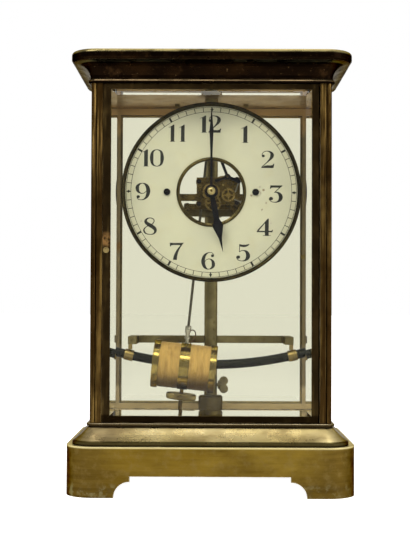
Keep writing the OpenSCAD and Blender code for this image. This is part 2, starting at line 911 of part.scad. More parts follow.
rating_screw_d = 3;
rating_screw_end = 9.2;
nut_chamfer = 1.2;
module rating_screw() {
  len = nut_drop + nut_t + rating_screw_end;
  color(dark_brass)
    swing()
      translate([0, 0, -bob_drop - band_d / 2 - len])
        cylinder(d = rating_screw_d, h = len, $fn = 32);
}

module rating_nut() {
  z = bob_drop + flange_d / 2 + nut_drop;
  r = nut_d / 2;
  bore = rating_screw_d / 2 + pivot_play;
  color(brass)
    swing()
      translate([0, 0, -z - nut_t])
        rotate_extrude($fn = 96)
          polygon([[bore, 0], [r - nut_chamfer, 0], [r, nut_chamfer], [r, nut_t - nut_chamfer],
            [r - nut_chamfer, nut_t], [bore, nut_t]]);
}

// The dial, seen from the front with its centre at the origin
dial_t = 1;
bezel_wall = 2.4;
dial_r = bezel_d / 2 - bezel_wall - seat;
ring_spigot = 1.5;
module at_dial(y, t) {
  facing(0, -y, dial_z, t)
    children();
}

module turned(y) {
  translate([0, -y, dial_z])
    rotate([90, 0, 0])
      children();
}

module dial_plate() {
  color([0.9, 0.87, 0.74])
    at_dial(dial_y - dial_t, dial_t)
      difference() {
        circle(r = dial_r, $fn = 180);
        circle(r = window_d / 2 + ring_spigot + seat, $fn = 96);
        for (k = [-1, 1])
          translate([k * dial_screw_x, 0])
            circle(d = 2.4, $fn = 32);
      }
}

module dial_bezel() {
  r = bezel_d / 2;
  color(brass)
    turned(dial_y)
      rotate_extrude($fn = 180)
        polygon([[r - bezel_w, seat], [r - bezel_wall, seat], [r - bezel_wall, -2.4], [r, -2.4],
          [r, 1.2], [r - 1, 2.2], [r - bezel_w + 0.5, 1.2]]);
}

module window_bezel() {
  r = window_d / 2;
  color(brass)
    turned(dial_y)
      rotate_extrude($fn = 96)
        polygon([[r, -1.6], [r + ring_spigot, -1.6], [r + ring_spigot, seat], [r + window_ring, seat],
          [r + window_ring - 0.4, 0.8], [r + 1.2, 1.3], [r, 0.8]]);
}

dial_screw_d = 2;
module dial_screws() {
  color(steel)
    for (k = [-1, 1]) {
      along_y(k * dial_screw_x, dial_z, dial_screw_d, -dial_y - 0.2, -plate_front + 1);
      difference() {
        along_y(k * dial_screw_x, dial_z, 5.2, -dial_y - 1.1, -dial_y - 0.05);
        translate([k * dial_screw_x - 3, -dial_y - 2, dial_z - 0.3])
          cube([6, 1.4, 0.6]);
      }
    }
}

// Hands: each is an outline [distance from the centre, half width]
module hand_shape(outline, hub, bore) {
  difference() {
    union() {
      circle(r = hub, $fn = 48);
      polygon(concat([for (p = outline) [p[1], p[0]]],
        [for (i = [len(outline) - 1:-1:0]) [-outline[i][1], outline[i][0]]]));
    }
    circle(d = bore, $fn = 48);
  }
}

arbor_d = 1.6;
pipe_d = 2.6;
hour_pipe_d = 4.4;
hand_t = 0.8;
minute_over_dial = 9.6;
hour_over_dial = 7;
minute_y = dial_y + minute_over_dial;
hour_y = dial_y + hour_over_dial;
module minute_hand() {
  outline = [[2.5, 1], [minute_len * 0.45, 0.85], [minute_len * 0.73, 1.6], [minute_len * 0.8, 1.1],
    [minute_len, 0.12]];
  color(steel)
    at_dial(minute_y, hand_t)
      rotate(-minute_angle)
        hand_shape(outline, 3.3, arbor_d + 0.04);
}

module hour_hand() {
  stem = 2.15;
  kite = hour_len * 0.58;
  outline = [[3, stem * 0.75], [hour_len * 0.2, stem], [hour_len * 0.46, stem], [kite, 4.15],
    [hour_len * 0.78, 1.2], [hour_len, 0.12]];
  color(steel)
    at_dial(hour_y, hand_t)
      rotate(-hour_angle)
        hand_shape(outline, 5.2, hour_pipe_d + 0.04);
}

hand_nut_d = 6.2;
nut_len = 1.6;
module hand_nut() {
  r = hand_nut_d / 2;
  color(brass)
    turned(minute_y + hand_t + 0.02)
      difference() {
        rotate_extrude($fn = 48)
          polygon([[0, 0], [r, 0], [r, 0.5], [r - 1, nut_len - 0.2], [r - 1.6, nut_len], [0, nut_len]]);
        translate([0, 0, -1])
          cylinder(d = arbor_d + 0.04, h = nut_len + 2, $fn = 32);
      }
}

// Wheels: module m is the pitch diameter over the teeth, and teeth are cut thin for play
function tooth(m, n, i) = let (r = m * n / 2, a = 360 / n, top = r + 0.8 * m, low = r - 1.1 * m)
  [for (q = [[low, -0.27], [top, -0.1], [top, 0.1], [low, 0.27]])
    q[0] * [cos(a * (i + q[1])), sin(a * (i + q[1]))]];

module gear(m, n, bore, turn) {
  difference() {
    rotate(turn)
      polygon([for (i = [0:n - 1]) each tooth(m, n, i)]);
    if (bore > 0)
      circle(d = bore, $fn = 32);
  }
}

module crossings(r_in, r_out, arms, width) {
  for (i = [0:arms - 1])
    rotate(360 * i / arms)
      intersection() {
        difference() {
          circle(r = r_out, $fn = 64);
          circle(r = r_in, $fn = 48);
        }
        translate([width / 2, width / 2])
          square(r_out);
      }
}

// places of the arbors from the dial's centre, and the wheels on them
train_m = 0.25;
centre_teeth = 80;
second_teeth = 64;
leaves = 8;
ratchet_at = [13.3, -1.9];
second_far = train_m * (centre_teeth + leaves) / 2;
second_near = train_m * (second_teeth + leaves) / 2;
ratchet_far = norm(ratchet_at);
second_along = (second_far * second_far - second_near * second_near + ratchet_far * ratchet_far)
  / (2 * ratchet_far);
second_up = sqrt(second_far * second_far - second_along * second_along);
ratchet_dir = ratchet_at / ratchet_far;
second_at = second_along * ratchet_dir + second_up * [-ratchet_dir[1], ratchet_dir[0]];
motion_far = 8.4;
cannon_teeth = 12;
minute_teeth = 36;
motion_leaves = 10;
hour_teeth = 40;
minute_m = 2 * motion_far / (cannon_teeth + minute_teeth);
hour_m = 2 * motion_far / (motion_leaves + hour_teeth);
motion_dir = -81;
motion_at = motion_far * [cos(motion_dir), sin(motion_dir)];
second_dir = atan2(second_at[1], second_at[0]);
ratchet_from_second = ratchet_at - second_at;
near_dir = atan2(ratchet_from_second[1], ratchet_from_second[0]);

// depths of the layers in front of the middle of the case
plate_t = 1.5;
plate_front = dial_y - 6;
plate_back = plate_front - 9;
centre_y = plate_front - 3.4;
second_y = plate_front - 6.8;
thin_arbor = 1.1;
pivot_play = 0.05;

module at(place) {
  translate([place[0], place[1]])
    children();
}

module arbor(place, d, y_front, y_rear) {
  along_y(place[0], dial_z + place[1], d, -y_front, -y_rear);
}

module minute_arbor() {
  color(brass) {
    arbor([0, 0], arbor_d, minute_y + hand_t + nut_len + 0.8, centre_y);
    arbor([0, 0], thin_arbor, centre_y + 1, plate_back - plate_t - 0.2);
    arbor([0, 0], pipe_d, minute_y - 0.05, plate_front + 0.3);
    at_dial(centre_y, 1)
      difference() {
        gear(train_m, centre_teeth, 0, second_dir);
        crossings(3, 8.2, 4, 1.6);
      }
    at_dial(plate_front + 0.8, 1.6)
      gear(minute_m, cannon_teeth, 0, motion_dir);
  }
}

module minute_wheel() {
  color(brass) {
    at_dial(plate_front + 1.2, 1)
      at(motion_at)
        difference() {
          gear(minute_m, minute_teeth, stud_d + 2 * pivot_play, motion_dir + 180 + 180 / minute_teeth);
          crossings(2.4, 4.9, 4, 1.4);
        }
    at_dial(plate_front + 2.2 - eps, 2.6)
      at(motion_at)
        gear(hour_m, motion_leaves, stud_d + 2 * pivot_play, motion_dir + 180);
  }
}

module hour_wheel() {
  color(brass)
    difference() {
      union() {
        at_dial(plate_front + 3.6, 1)
          difference() {
            gear(hour_m, hour_teeth, 0, motion_dir + 180 / hour_teeth);
            crossings(3, 5.2, 4, 1.4);
          }
        arbor([0, 0], hour_pipe_d, hour_y + hand_t + 0.3, plate_front + 3.6);
      }
      arbor([0, 0], pipe_d + 2 * pivot_play, hour_y + 4, plate_front);
    }
}

module second_wheel() {
  color(brass) {
    arbor(second_at, thin_arbor, plate_front + 0.2, plate_back - plate_t - 0.2);
    at_dial(second_y, 0.8)
      at(second_at)
        difference() {
          gear(train_m, second_teeth, 0, near_dir);
          crossings(2, 6.3, 4, 1.4);
        }
    at_dial(centre_y - 0.6, 2.2)
      at(second_at)
        gear(train_m, leaves, 0, second_dir + 180 + 180 / leaves);
  }
}

ratchet_teeth = 50;
ratchet_r = 5.4;
ratchet_deep = 0.45;
module ratchet_wheel() {
  a = 360 / ratchet_teeth;
  color(brass) {
    arbor(ratchet_at, thin_arbor, plate_front + 2.2, plate_back - plate_t - 0.2);
    at_dial(second_y - 0.6, 2)
      at(ratchet_at)
        gear(train_m, leaves, 0, near_dir + 180 + 180 / leaves);
    at_dial(plate_front + 0.6, 0.8)
      at(ratchet_at)
        difference() {
          polygon([for (i = [0:ratchet_teeth - 1], q = [[ratchet_r, 0], [ratchet_r - ratchet_deep, 0.15]])
            q[0] * [cos(a * (i + q[1])), sin(a * (i + q[1]))]]);
          crossings(1.8, 3.9, 4, 1);
        }
  }
}

// a flat bar of width w with round ends between two points
module bar(from, to, w) {
  d = to - from;
  at(from) {
    rotate(atan2(d[1], d[0]))
      translate([0, -w / 2])
        square([norm(d), w]);
    circle(d = w, $fn = 32);
  }
  at(to)
    circle(d = w, $fn = 32);
}

// a flat bar of width w whose square ends run on past the two points
module strip(from, to, w, more) {
  d = to - from;
  at(from)
    rotate(atan2(d[1], d[0]))
      translate([-more, -w / 2])
        square([norm(d) + 2 * more, w]);
}

// Plates: the front plate carries the dial, the back plate meets the posts of the bracket
pillar_at = [[-9.6, 8.8], [-9.6, -8.8], [20, 10], [20, -8]];
post_at = [[-19, -10], [19, -12.4]];
lever_at = [12.6, 12.4];
click_at = [24, -7.5];
plate_pillar_d = 3.2;
stud_d = 1.5;

module plate_block() {
  translate([-11.5, -9.5])
    square([34, 21.5]);
  for (q = pillar_at)
    at(q)
      circle(d = 5, $fn = 32);
}

module pivot_holes() {
  at(second_at)
    circle(d = thin_arbor + 2 * pivot_play, $fn = 32);
  at(ratchet_at)
    circle(d = thin_arbor + 2 * pivot_play, $fn = 32);
}

module stud_on_plate(place, d, len) {
  arbor(place, d, plate_front + len, plate_front - eps);
}

module front_plate() {
  color(brass) {
    at_dial(plate_front - plate_t, plate_t)
      difference() {
        union() {
          plate_block();
          translate([-dial_screw_x - 2, -6.5])
            square([2 * dial_screw_x + 4, 5.5]);
          for (k = [-1, 1])
            at([k * dial_screw_x, 0])
              circle(d = 8, $fn = 48);
          at(motion_at)
            circle(r = 5.6, $fn = 48);
          at(lever_at)
            circle(r = 2.6, $fn = 32);
          bar([20, -7.5], click_at, 5);
        }
        circle(d = arbor_d + 2 * pivot_play, $fn = 32);
        pivot_holes();
        for (k = [-1, 1])
          at([k * dial_screw_x, 0])
            circle(d = dial_screw_d + 2 * seat, $fn = 32);
        for (q = pillar_at)
          at(q)
            circle(d = 1.7, $fn = 32);
      }
    stud_on_plate(motion_at, stud_d, 5);
    stud_on_plate(lever_at, stud_d, 4);
    stud_on_plate(click_at, stud_d, 2.4);
  }
}

module back_plate() {
  color(brass)
    at_dial(plate_back - plate_t, plate_t)
      difference() {
        union() {
          plate_block();
          translate([-21.5, -12.4])
            square([44, 4.5]);
          for (q = post_at)
            at(q)
              circle(d = 5.5, $fn = 32);
        }
        circle(d = thin_arbor + 2 * pivot_play, $fn = 32);
        pivot_holes();
        for (q = concat(pillar_at, post_at))
          at(q)
            circle(d = 1.7, $fn = 32);
      }
}

module movement_pillars() {
  color(brass) {
    for (q = pillar_at)
      arbor(q, plate_pillar_d, plate_front - plate_t, plate_back);
    for (k = [-1, 1])
      difference() {
        arbor([k * dial_screw_x, 0], 6, dial_y - dial_t, plate_front);
        arbor([k * dial_screw_x, 0], dial_screw_d + 2 * seat, dial_y, plate_front - 1);
      }
  }
}

module plate_screws() {
  color(steel)
    for (q = pillar_at) {
      difference() {
        arbor(q, 3.6, plate_front + 0.5, plate_front);
        translate([q[0] - 2, -plate_front - 1, dial_z + q[1] - 0.25])
          cube([4, 0.8, 0.5]);
      }
      arbor(q, 1.6, plate_front + eps, plate_front - plate_t);
    }
}

// The movement stands on two posts in front of a bar that is clamped on the column
bracket_bar_t = 3;
movement_bar_z = dial_z + post_at[1][1] - 4;
movement_bar_len = 44;
movement_bar_h = 8;
module movement_bracket() {
  color(dark_brass)
    difference() {
      union() {
        column_ring(movement_bar_z, movement_bar_h);
        difference() {
          translate([-movement_bar_len / 2, column_y - cock_ring_d / 2 - 1, movement_bar_z])
            cube([movement_bar_len, bracket_bar_t, movement_bar_h]);
          translate([0, column_y, movement_bar_z - 1])
            cylinder(d = column_d + 2 * seat, h = movement_bar_h + 2, $fn = 64);
        }
        for (q = post_at)
          arbor(q, 4, plate_back - plate_t, -(column_y - cock_ring_d / 2 - 1) - 1);
      }
    }
}

// The drive lever: its fork stands round the contact pin of the pendulum
fork_z = pivot_z - contact_drop - dial_z;
fork_half = contact_drop * sin(7.5) + contact_d / 2 + 0.5;
fork_w = 1.6;
lever_y = plate_front + 2;
pawl_at = [21.6, 8.6];
tail_at = [3, 8.8];
fork_len = 6.4;
module drive_lever() {
  left = [-fork_half - fork_w / 2, fork_z - 3.6];
  right = [fork_half + fork_w / 2, fork_z - 3.6];
  color(dark_brass) {
    at_dial(lever_y, 1.2)
      difference() {
        union() {
          strip(lever_at, right, 2.2, 0);
          strip(left, right, fork_w, 1.1);
          strip(left, left + [0, fork_len], fork_w, 0);
          strip(right, right + [0, fork_len], fork_w, 0);
          strip(lever_at, pawl_at, 2.4, 0);
          strip(lever_at, tail_at, 2, 0);
          at(lever_at)
            circle(d = 4.4, $fn = 32);
          at(pawl_at)
            circle(d = 3, $fn = 32);
        }
        at(lever_at)
          circle(d = stud_d + 2 * pivot_play, $fn = 32);
      }
    arbor(pawl_at, 1.2, lever_y + eps, plate_front + 0.6);
  }
}

// the pawl's nose stands just off the ratchet wheel's teeth
nose_play = 0.25;
pawl_y = plate_front + 0.7;
pawl_t = 1;
module drive_pawl() {
  nose = ratchet_at + (ratchet_r + nose_play + 0.45) * [cos(25), sin(25)];
  color(steel)
    at_dial(pawl_y, pawl_t)
      difference() {
        union() {
          bar(pawl_at, nose, 0.9);
          at(pawl_at)
            circle(d = 2.6, $fn = 32);
        }
        at(pawl_at)
          circle(d = 1.2 + 2 * pivot_play, $fn = 32);
      }
}

module detent_click() {
  nose = ratchet_at + (ratchet_r + nose_play + 0.45) * [cos(-35), sin(-35)];
  color(steel)
    at_dial(pawl_y, pawl_t)
      difference() {
        union() {
          bar(click_at, nose, 0.9);
          at(click_at)
            circle(d = 3, $fn = 32);
        }
        at(click_at)
          circle(d = stud_d + 2 * pivot_play, $fn = 32);
      }
}

// The dry battery lies under the floor between two spring clips on the cover
battery_d = 32;
battery_len = 60;
battery_y = -28;
battery_z = cover_z + cover_t + seat + battery_d / 2;
clip_t = 0.8;
module battery() {
  color([0.2, 0.25, 0.3])
    translate([-battery_len / 2, battery_y, battery_z])
      rotate([0, 90, 0]) {
        cylinder(d = battery_d, h = battery_len - 1.6, $fn = 64);
        cylinder(d = 9, h = battery_len, $fn = 48);
      }
}

module battery_clips() {
  z = cover_z + cover_t;
  color(brass)
    for (k = [0, 1])
      mirror([k, 0, 0]) {
        translate([battery_len / 2 + seat, battery_y - 8, z])
          cube([clip_t, 16, battery_d / 2 + 6]);
        translate([battery_len / 2 + seat, battery_y - 8, z])
          cube([12, 16, clip_t]);
      }
}

plinth();
bottom_cover();
cover_screws();
plinth_moulding();
case_floor();
pillars();
hinge_pins();
front_door_frame();
front_door_glass();
front_catch();
rear_door_frame();
rear_door_glass();
rear_catch();
side_frames();
side_glass_left();
side_glass_right();
ceiling_plate();
ceiling_nuts();
cornice();
column();
column_nuts();
column_socket();
binding_screw();
magnet();
magnet_clamps();
magnet_bracket();
bracket_screw();
suspension_cock();
suspension_pin();
suspension_spring();
pendulum_rod();
pendulum_hook();
coil_bobbin();
coil_cores();
coil_turns();
coil_lead();
rating_screw();
rating_nut();
dial_plate();
dial_bezel();
window_bezel();
dial_screws();
minute_hand();
hour_hand();
hand_nut();
minute_arbor();
minute_wheel();
hour_wheel();
second_wheel();
ratchet_wheel();
front_plate();
back_plate();
movement_pillars();
plate_screws();
movement_bracket();
drive_lever();
drive_pawl();
detent_click();
battery();
battery_clips();
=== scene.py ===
"""Cage clock with an electromagnetic pendulum: its finishes, its fine pieces and its studio."""

import math

import bmesh
import bpy
from mathutils import Matrix, Vector


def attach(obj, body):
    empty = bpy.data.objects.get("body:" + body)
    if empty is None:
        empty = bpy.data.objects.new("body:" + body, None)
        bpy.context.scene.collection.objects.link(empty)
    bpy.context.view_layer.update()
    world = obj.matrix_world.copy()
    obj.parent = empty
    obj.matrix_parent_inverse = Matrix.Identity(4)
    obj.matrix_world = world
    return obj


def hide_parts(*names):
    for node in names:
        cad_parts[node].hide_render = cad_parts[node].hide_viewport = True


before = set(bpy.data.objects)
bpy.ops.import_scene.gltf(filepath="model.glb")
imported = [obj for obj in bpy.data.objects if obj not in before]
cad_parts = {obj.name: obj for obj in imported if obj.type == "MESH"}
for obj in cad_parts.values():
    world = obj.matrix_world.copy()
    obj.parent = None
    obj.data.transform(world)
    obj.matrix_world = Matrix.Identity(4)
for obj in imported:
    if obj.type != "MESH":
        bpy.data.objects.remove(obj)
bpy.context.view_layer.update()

# lengths of pieces and finishes are in millimetres, which MM turns into Blender's metres
MM = 0.001
MM_IN_METRE = 1000.0
# the dial's middle and front face, and how far the coil's middle hangs below the pendulum's pivot
DIAL_Z = 230.6
DIAL_FRONT = -35.0
COIL_DOWN = 205
# the pendulum's pivot, in metres, and how many degrees the pendulum stands to the left
PIVOT = Vector((0.0, -0.016, 0.298))
REST_ANGLE = 5.85


# camera, light and studio

# places of the camera and the lamps are in metres, and the camera's turns in degrees
CAMERA_AT = (0.0, -0.9255, 0.1458)
PITCH, YAW, ROLL = 1.375, 0.30, 0.23
LENS = 75.4

# light from the room in front, and light that only reaches dull surfaces
ROOM_LEVEL, FILL_LEVEL = 0.42, 0.3
# glow of the paper near the clock and far off, and what the camera's own view of it adds
GLOW_NEAR, GLOW_FAR, GLOW_STRAIGHT = 0.4, 0.69, 0.6


def set_camera():
    bpy.ops.object.camera_add(location=CAMERA_AT)
    camera = bpy.context.object
    camera.name = "photo_camera"
    camera.data.sensor_width = 36
    camera.data.lens = LENS
    camera.data.clip_start, camera.data.clip_end = 0.05, 60
    turn = Matrix.Rotation(math.radians(YAW), 4, "Z") @ Matrix.Rotation(math.radians(90 + PITCH), 4, "X")
    turn = turn @ Matrix.Rotation(math.radians(ROLL), 4, "Z")
    camera.matrix_world = Matrix.Translation(CAMERA_AT) @ turn
    bpy.context.scene.camera = camera


def softbox(name, at, aim, size, watts):
    bpy.ops.object.light_add(type="AREA", location=at)
    lamp = bpy.context.object
    lamp.name = name
    lamp.rotation_euler = (Vector(aim) - Vector(at)).to_track_quat("-Z", "Y").to_euler()
    lamp.data.shape = "RECTANGLE"
    lamp.data.size, lamp.data.size_y = size
    lamp.data.energy = watts


def feed(tree, socket, value):
    """Sets a socket to a number or a colour, or joins it to another node."""
    if isinstance(value, (int, float, tuple)):
        socket.default_value = value
    else:
        tree.links.new(value, socket)


def sums(tree, operation, a, b=0.0, clamp=False):
    made = tree.nodes.new("ShaderNodeMath")
    made.operation, made.use_clamp = operation, clamp
    feed(tree, made.inputs[0], a)
    feed(tree, made.inputs[1], b)
    return made.outputs[0]


def ramp(tree, value, start, end, low, high, smooth=False):
    """Goes from low to high as the value goes from start to end."""
    made = tree.nodes.new("ShaderNodeMapRange")
    if smooth:
        made.interpolation_type = "SMOOTHSTEP"
    for name, number in (("From Min", start), ("From Max", end), ("To Min", low), ("To Max", high)):
        made.inputs[name].default_value = number
    tree.links.new(value, made.inputs["Value"])
    return made.outputs["Result"]


def white_to_the_eye(tree):
    """1 for a ray that looks at the background straight, in a reflection or through glass.
    0 for one that only carries its light to a dull surface."""
    path = tree.nodes.new("ShaderNodeLightPath").outputs
    looks = sums(tree, "MAXIMUM", path["Is Camera Ray"], path["Is Glossy Ray"])
    looks = sums(tree, "MAXIMUM", looks, path["Is Transmission Ray"])
    dulled = sums(tree, "MULTIPLY", looks, sums(tree, "MINIMUM", path["Diffuse Depth"], 1))
    return sums(tree, "SUBTRACT", looks, dulled)


def set_room():
    """White behind the clock, and a dimmer room in front of it, which shows in polished metal."""
    world = bpy.data.worlds.new("white_studio")
    bpy.context.scene.world = world
    world.use_nodes = True
    tree = world.node_tree
    sky = tree.nodes["Background"]
    sky.inputs["Color"].default_value = (1, 1, 1, 1)
    straight = tree.nodes.new("ShaderNodeLightPath").outputs["Is Camera Ray"]
    split = tree.nodes.new("ShaderNodeSeparateXYZ")
    tree.links.new(tree.nodes.new("ShaderNodeTexCoord").outputs["Generated"], split.inputs[0])
    room = ramp(tree, split.outputs["Y"], -0.75, 0.25, ROOM_LEVEL, 1.0, smooth=True)
    eye = white_to_the_eye(tree)
    level = sums(tree, "MULTIPLY", sums(tree, "MAXIMUM", room, straight), eye)
    fill = sums(tree, "MULTIPLY", sums(tree, "SUBTRACT", 1, eye), FILL_LEVEL)
    tree.links.new(sums(tree, "ADD", level, fill), sky.inputs["Strength"])


def set_table():
    """White paper. Far off, where no lamp reaches, it glows more, so that it is no darker through glass."""
    bpy.ops.mesh.primitive_plane_add(size=14, location=(0, 4, 0))
    table = bpy.context.object
    table.name = "studio_table"
    paper = bpy.data.materials.new("white_paper")
    paper.use_nodes = True
    tree = paper.node_tree
    shader = tree.nodes["Principled BSDF"]
    shader.inputs["Roughness"].default_value = 0.8
    shader.inputs["Base Color"].default_value = (0.78, 0.78, 0.78, 1)
    away = tree.nodes.new("ShaderNodeVectorMath")
    away.operation = "LENGTH"
    tree.links.new(tree.nodes.new("ShaderNodeNewGeometry").outputs["Position"], away.inputs[0])
    level = ramp(tree, away.outputs["Value"], 0.5, 3.0, GLOW_NEAR, GLOW_FAR)
    straight = tree.nodes.new("ShaderNodeLightPath").outputs["Is Camera Ray"]
    glow = sums(tree, "MULTIPLY", white_to_the_eye(tree), level)
    glow = sums(tree, "ADD", glow, sums(tree, "MULTIPLY", straight, GLOW_STRAIGHT))
    shader.inputs["Emission Color"].default_value = (1, 1, 1, 1)
    tree.links.new(glow, shader.inputs["Emission Strength"])
    table.data.materials.append(paper)


def set_lamps():
    softbox("key_softbox", (-0.75, -1.15, 1.35), (0, 0, 0.16), (0.9, 0.9), 14)
    softbox("front_softbox", (0.0, -1.25, 1.5), (0, 0, 0.12), (0.7, 0.35), 6)
    softbox("fill_softbox", (1.3, -1.0, 0.55), (0, 0, 0.15), (0.8, 1.0), 5)
    softbox("top_softbox", (0.1, 0.1, 1.5), (0, 0, 0.1), (1.0, 1.0), 9)


set_camera()
set_room()
set_table()
set_lamps()
bpy.context.scene.view_settings.view_transform = "Standard"


# how a finish is laid on

# old metal mirrors less of the room where it turns away than new metal does
EDGE_TINT = (0.35, 0.3, 0.2, 1)
FULL_EDGE = (1, 1, 1, 1)

# how far an edge bends away from the face beside it before it counts as rubbed, and as fully rubbed
EDGE_BEND = (0.02, 0.2)

# a Mix node keeps one set of sockets for numbers and one for colours: first input, second input, output
MIX_SOCKETS = {"FLOAT": (2, 3, 0), "RGBA": (6, 7, 2)}


class Finish:
    """One surface finish. Each layer is a mask on the object's own coordinates and what shows there."""

    def __init__(self, name, colour, roughness, metallic=1.0):
        self.material = bpy.data.materials.new(name)
        self.material.use_nodes = True
        self.tree = self.material.node_tree
        self.shader = self.tree.nodes["Principled BSDF"]
        self.shader.inputs["Metallic"].default_value = metallic
        if metallic:
            self.shader.inputs["Specular Tint"].default_value = EDGE_TINT
        self.colour = (*colour, 1)
        self.gloss = roughness
        self.relief = None
        self.where = self.tree.nodes.new("ShaderNodeTexCoord").outputs["Object"]

    def node(self, kind, **settings):
        made = self.tree.nodes.new(kind)
        for name, value in settings.items():
            setattr(made, name, value)
        return made

    def feed(self, socket, value):
        feed(self.tree, socket, value)

    def sums(self, operation, a, b=0.0, clamp=False):
        return sums(self.tree, operation, a, b, clamp)

    def both(self, a, b):
        return self.sums("MULTIPLY", a, b)

    def either(self, a, b):
        return self.sums("MAXIMUM", a, b)

    def without(self, a):
        return self.sums("SUBTRACT", 1.0, a, True)

    def stretched(self, scale, turn=(0, 0, 0)):
        made = self.node("ShaderNodeMapping")
        made.inputs["Scale"].default_value = scale
        made.inputs["Rotation"].default_value = tuple(math.radians(a) for a in turn)
        self.feed(made.inputs["Vector"], self.where)
        return made.outputs[0]

    def cloud(self, size_mm, low=0.4, high=0.6, detail=4.0, stretch=(1, 1, 1), turn=(0, 0, 0)):
        """Noise with features of about size_mm, spread to 0..1 between low and high."""
        noise = self.node("ShaderNodeTexNoise")
        noise.inputs["Scale"].default_value = MM_IN_METRE / size_mm
        noise.inputs["Detail"].default_value = detail
        noise.inputs["Roughness"].default_value = 0.6
        self.feed(noise.inputs["Vector"], self.stretched(stretch, turn))
        return self.spread(noise.outputs["Fac"], low, high)

    def spread(self, value, low, high, to_low=0.0, to_high=1.0):
        return ramp(self.tree, value, low, high, to_low, to_high, smooth=True)

    def along(self, axis):
        made = self.node("ShaderNodeSeparateXYZ")
        self.feed(made.inputs[0], self.where)
        return self.sums("MULTIPLY", made.outputs["XYZ".index(axis)], MM_IN_METRE)

    def past(self, axis, start_mm, end_mm):
        """0 before start_mm and 1 past end_mm along an axis."""
        if start_mm < end_mm:
            return self.spread(self.along(axis), start_mm, end_mm)
        return self.spread(self.along(axis), end_mm, start_mm, 1.0, 0.0)

    def between(self, axis, start_mm, full_mm, end_full_mm, end_mm):
        """1 in a band across an axis, with a soft start and end."""
        return self.both(self.past(axis, start_mm, full_mm), self.past(axis, end_mm, end_full_mm))

    def out_from_middle(self, axis, start_mm, end_mm):
        return self.spread(self.sums("ABSOLUTE", self.along(axis)), start_mm, end_mm)

    def near(self, at, axes, radius_mm, soft_mm):
        """1 within radius_mm of a point, measured along the named axes only."""
        gap = self.node("ShaderNodeVectorMath", operation="SUBTRACT")
        self.feed(gap.inputs[0], self.where)
        gap.inputs[1].default_value = tuple(v * MM for v in at)
        flat = self.node("ShaderNodeVectorMath", operation="MULTIPLY")
        self.feed(flat.inputs[0], gap.outputs[0])
        flat.inputs[1].default_value = tuple(MM_IN_METRE if a in axes else 0.0 for a in "XYZ")
        length = self.node("ShaderNodeVectorMath", operation="LENGTH")
        self.feed(length.inputs[0], flat.outputs[0])
        return self.spread(length.outputs["Value"], radius_mm, radius_mm + soft_mm, 1.0, 0.0)

    def faces(self, axis, start, end):
        """1 where the surface looks along +axis, 0 where it turns away."""
        geometry = self.node("ShaderNodeNewGeometry")
        split = self.node("ShaderNodeSeparateXYZ")
        self.feed(split.inputs[0], geometry.outputs["Normal"])
        return self.spread(split.outputs["XYZ".index(axis)], start, end)

    def edges(self, radius_mm):
        """1 on sharp outer and inner edges, where hands and cloths reach the metal."""
        bevel = self.node("ShaderNodeBevel", samples=4)
        bevel.inputs["Radius"].default_value = radius_mm * MM
        geometry = self.node("ShaderNodeNewGeometry")
        dot = self.node("ShaderNodeVectorMath", operation="DOT_PRODUCT")
        self.feed(dot.inputs[0], bevel.outputs[0])
        self.feed(dot.inputs[1], geometry.outputs["Normal"])
        return self.spread(self.sums("SUBTRACT", 1.0, dot.outputs["Value"]), *EDGE_BEND)

    def mix(self, kind, mask, below, above):
        made = self.node("ShaderNodeMix", data_type=kind)
        first, second, out = MIX_SOCKETS[kind]
        self.feed(made.inputs["Factor"], mask)
        self.feed(made.inputs[first], below)
        self.feed(made.inputs[second], above)
        return made.outputs[out]

    def paint(self, mask, colour, amount):
        self.colour = self.mix("RGBA", self.both(mask, amount), self.colour, (*colour, 1))

    def polish(self, mask, roughness):
        self.gloss = self.mix("FLOAT", mask, self.gloss, roughness)

    def raise_by(self, height, depth_mm, strength):
        made = self.node("ShaderNodeBump")
        made.inputs["Strength"].default_value = strength
        made.inputs["Distance"].default_value = depth_mm * MM
        self.feed(made.inputs["Height"], height)
        if self.relief is not None:
            self.feed(made.inputs["Normal"], self.relief)
        self.relief = made.outputs[0]

    def done(self):
        self.feed(self.shader.inputs["Base Color"], self.colour)
        self.feed(self.shader.inputs["Roughness"], self.gloss)
        if self.relief is not None:
            self.feed(self.shader.inputs["Normal"], self.relief)
        return self.material


def lay_on(material, *nodes):
    for name in nodes:
        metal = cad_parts[name]
        metal.data.materials.clear()
        metal.data.materials.append(material)


# brass of the case

